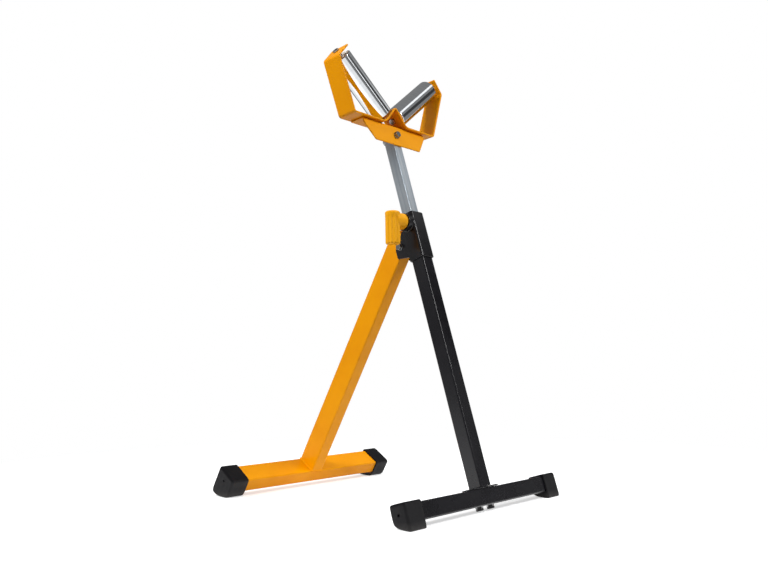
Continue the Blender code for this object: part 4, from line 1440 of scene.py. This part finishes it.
@dataclass(frozen=True)
class Studio:
    """The camera, the lamps, the floor, the flags and the sky."""

    camera_place: tuple[float, float, float] = (-0.9139, -0.8980, 0.2089)
    yaw: float = radians(44.163)
    pitch: float = radians(6.364)
    roll: float = radians(-0.848)
    focal_pixels: float = 742.22
    image_wide: int = 768
    sensor: float = 36.0
    camera_sees: float = 100.0
    floor_size: float = 30.0
    floor_lift: float = 0.55
    floor_fade: tuple[float, float] = (0.45, 1.1)
    floor_spill: tuple[float, float] = (0.28, 0.75)
    ambient: float = 0.30
    aim_height: float = 0.40
    lamp_list: tuple[Softbox, ...] = (
        Softbox("key_softbox", -62.0, 41.0, 2.2, (0.8, 0.8), 33.0),
        Softbox("side_softbox", 172.0, 42.0, 2.4, (1.0, 1.0), 47.0),
        Softbox("edge_softbox", -77.0, 31.0, 2.9, (0.55, 0.9), 36.0, in_gloss=True, in_light=False),
    )
    flag_list: tuple[Flag, ...] = (
        Flag("grey_felt_drum", 0.0, 360.0, 0.0, 3.2, 3.2, 0.24, lid=True),
        Flag("dark_flag_right", -60.0, 12.0, 1.34, 2.25, 3.1, 0.05),
        Flag("dark_flag_low", -100.0, -45.0, 0.70, 1.06, 3.1, 0.06),
        Flag("white_board_front", -100.0, -45.0, 1.08, 1.30, 3.0, 1.7),
        Flag("white_board_key", -64.0, -36.0, 2.25, 3.15, 1.8, 1.3),
        Flag("white_board_right", -6.0, 22.0, 0.45, 0.95, 3.0, 0.9),
        Flag("grey_board_right", -34.0, 0.0, 2.25, 2.75, 3.0, 0.65),
        Flag("pale_board_left", 110.0, 170.0, 0.70, 1.10, 3.0, 0.55),
    )

    def build(self) -> None:
        """Sets up everything that isn't part of the object."""
        self.camera()
        self.sky()
        self.floor()
        self.flags()
        self.lamps()
        bpy.context.scene.view_settings.view_transform = "Standard"

    def camera(self) -> None:
        """Places the camera where the photograph's stood, with its turns taken about world Z and its own axes."""
        data = bpy.data.cameras.new("camera")
        data.sensor_width = self.sensor
        data.lens = self.focal_pixels * self.sensor / self.image_wide
        data.clip_end = self.camera_sees
        made = bpy.data.objects.new("camera", data)
        level = Matrix.Rotation(self.yaw - pi / 2, 4, "Z") @ Matrix.Rotation(pi / 2 + self.pitch, 4, "X")
        made.matrix_world = Matrix.Translation(self.camera_place) @ level @ Matrix.Rotation(self.roll, 4, "Z")
        bpy.context.scene.collection.objects.link(made)
        bpy.context.scene.camera = made

    def sky(self) -> None:
        """Sets a white sky for the camera, for gloss and for glass, and a weak soft light for everything else."""
        world = bpy.data.worlds.new("studio")
        bpy.context.scene.world = world
        tree = empty_tree(world)
        soft = add_node(tree, "Background", {"Color": (0.94, 0.97, 1.0, 1), "Strength": self.ambient})
        white = add_node(tree, "Background", {"Color": WHITE, "Strength": 1.0})
        mixed = add_node(tree, "MixShader", {0: self.seen_rays(tree), 1: soft, 2: white})
        add_node(tree, "OutputWorld", {"Surface": mixed})

    @staticmethod
    def seen_rays(tree: bpy.types.NodeTree) -> bpy.types.Node:
        """Adds nodes that give one for camera, glossy and transmission rays, and zero for rays that carry light.

        Args:
            tree: the node tree that takes them.

        Returns:
            The last of them.
        """
        rays = add_node(tree, "LightPath").outputs
        largest = {"operation": "MAXIMUM"}
        shine = add_node(tree, "Math", largest | {0: rays["Is Glossy Ray"], 1: rays["Is Transmission Ray"]})
        return add_node(tree, "Math", largest | {0: shine, 1: rays["Is Camera Ray"]})

    def floor(self) -> None:
        """Lays a pale floor that keeps its shadows near the stand and is lifted to white away from it. To the rays
        that carry light it is pale under the stand and grey further out, so that only the low pieces get its light.
        """
        half = self.floor_size / 2
        mesh = bpy.data.meshes.new("floor")
        corners = [(-half, -half, 0), (half, -half, 0), (half, half, 0), (-half, half, 0)]
        mesh.from_pydata(corners, [], [(0, 1, 2, 3)])
        material = bpy.data.materials.new("pale_studio_floor")
        tree = empty_tree(material)
        place = add_node(tree, "TexCoord").outputs["Object"]
        far = add_node(tree, "VectorMath", {"operation": "LENGTH", 0: place}).outputs["Value"]
        fade, spill = (
            add_node(tree, "MapRange", {"From Min": near, "From Max": away, "Value": far})
            for near, away in (self.floor_fade, self.floor_spill)
        )
        greys = {6: linear("#F0F0EE"), 7: linear("#747472")}
        grey = add_node(tree, "Mix", {"data_type": "RGBA", 0: spill} | greys).outputs[2]
        dull = add_node(tree, "BsdfDiffuse", {"Color": grey})
        pale = add_node(tree, "BsdfDiffuse", {"Color": linear("#F2F2F2")})
        lift = add_node(tree, "Emission", {"Color": WHITE, "Strength": self.floor_lift})
        lifted = add_node(tree, "AddShader", {0: pale, 1: lift})
        white = add_node(tree, "Emission", {"Color": WHITE, "Strength": 1.0})
        near = add_node(tree, "MixShader", {0: fade, 1: lifted, 2: white})
        whole = add_node(tree, "MixShader", {0: self.seen_rays(tree), 1: dull, 2: near})
        add_node(tree, "OutputMaterial", {"Surface": whole})
        mesh.materials.append(material)
        linked(mesh)

    def flags(self) -> None:
        """Hangs felt flags and white boards that only gloss sees, as a studio sets round bright metal to give it
        edges.

        Each is a stretch of a drum's wall round the stand: its points are the drum's radius times the cosine and
        sine of the azimuth, at a height. One of them has the drum's lid.
        """
        for flag in self.flag_list:
            ring = flag.radius * directions(np.radians(np.linspace(flag.start, flag.end, 49)))
            points = [np.insert(ring, 2, high, axis=1) for high in (flag.low, flag.high)]
            index = np.arange(2 * len(ring)).reshape(2, -1)
            faces = np.stack([index[0, :-1], index[0, 1:], index[1, 1:], index[1, :-1]], axis=-1).tolist()
            if flag.lid:
                faces.append(index[1].tolist())
            mesh = bpy.data.meshes.new(flag.name)
            mesh.from_pydata(np.concatenate(points).tolist(), [], faces)
            material = bpy.data.materials.new(flag.name)
            tree = empty_tree(material)
            glow = add_node(tree, "Emission", {"Color": WHITE, "Strength": flag.tone})
            add_node(tree, "OutputMaterial", {"Surface": glow})
            mesh.materials.append(material)
            made = linked(mesh)
            made.visible_camera = made.visible_diffuse = False
            made.visible_shadow = made.visible_transmission = False

    def lamps(self) -> None:
        """Sets up the softboxes, each facing the middle of the stand."""
        for lamp in self.lamp_list:
            data = bpy.data.lights.new(lamp.name, "AREA")
            data.shape = "RECTANGLE"
            data.size, data.size_y = lamp.size
            data.energy = lamp.power
            lift, turn = radians(lamp.elevation), radians(lamp.azimuth)
            outward = Vector((cos(lift) * cos(turn), cos(lift) * sin(turn), sin(lift)))
            place = Vector((0.0, 0.0, self.aim_height)) + outward * lamp.distance
            made = bpy.data.objects.new(lamp.name, data)
            facing = (-outward).to_track_quat("-Z", "Y").to_matrix().to_4x4()
            made.matrix_world = Matrix.Translation(place) @ facing
            made.visible_glossy = lamp.in_gloss
            made.visible_diffuse = lamp.in_light
            bpy.context.scene.collection.objects.link(made)


def main() -> None:
    """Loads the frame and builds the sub-assemblies in order."""
    logging.basicConfig(level=logging.INFO, format="%(name)s: %(message)s")
    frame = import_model()
    places = Places.read(frame["joints"])
    post = HeightPost(places)
    rollers = [Roller(side, places.rollers[side], post.roller_span) for side in Side]
    for assembly in (FrontFrame(places), RearFrame(places), post, *rollers, Lock(places), Studio()):
        assembly.build()


if __name__ == "__main__":
    main()
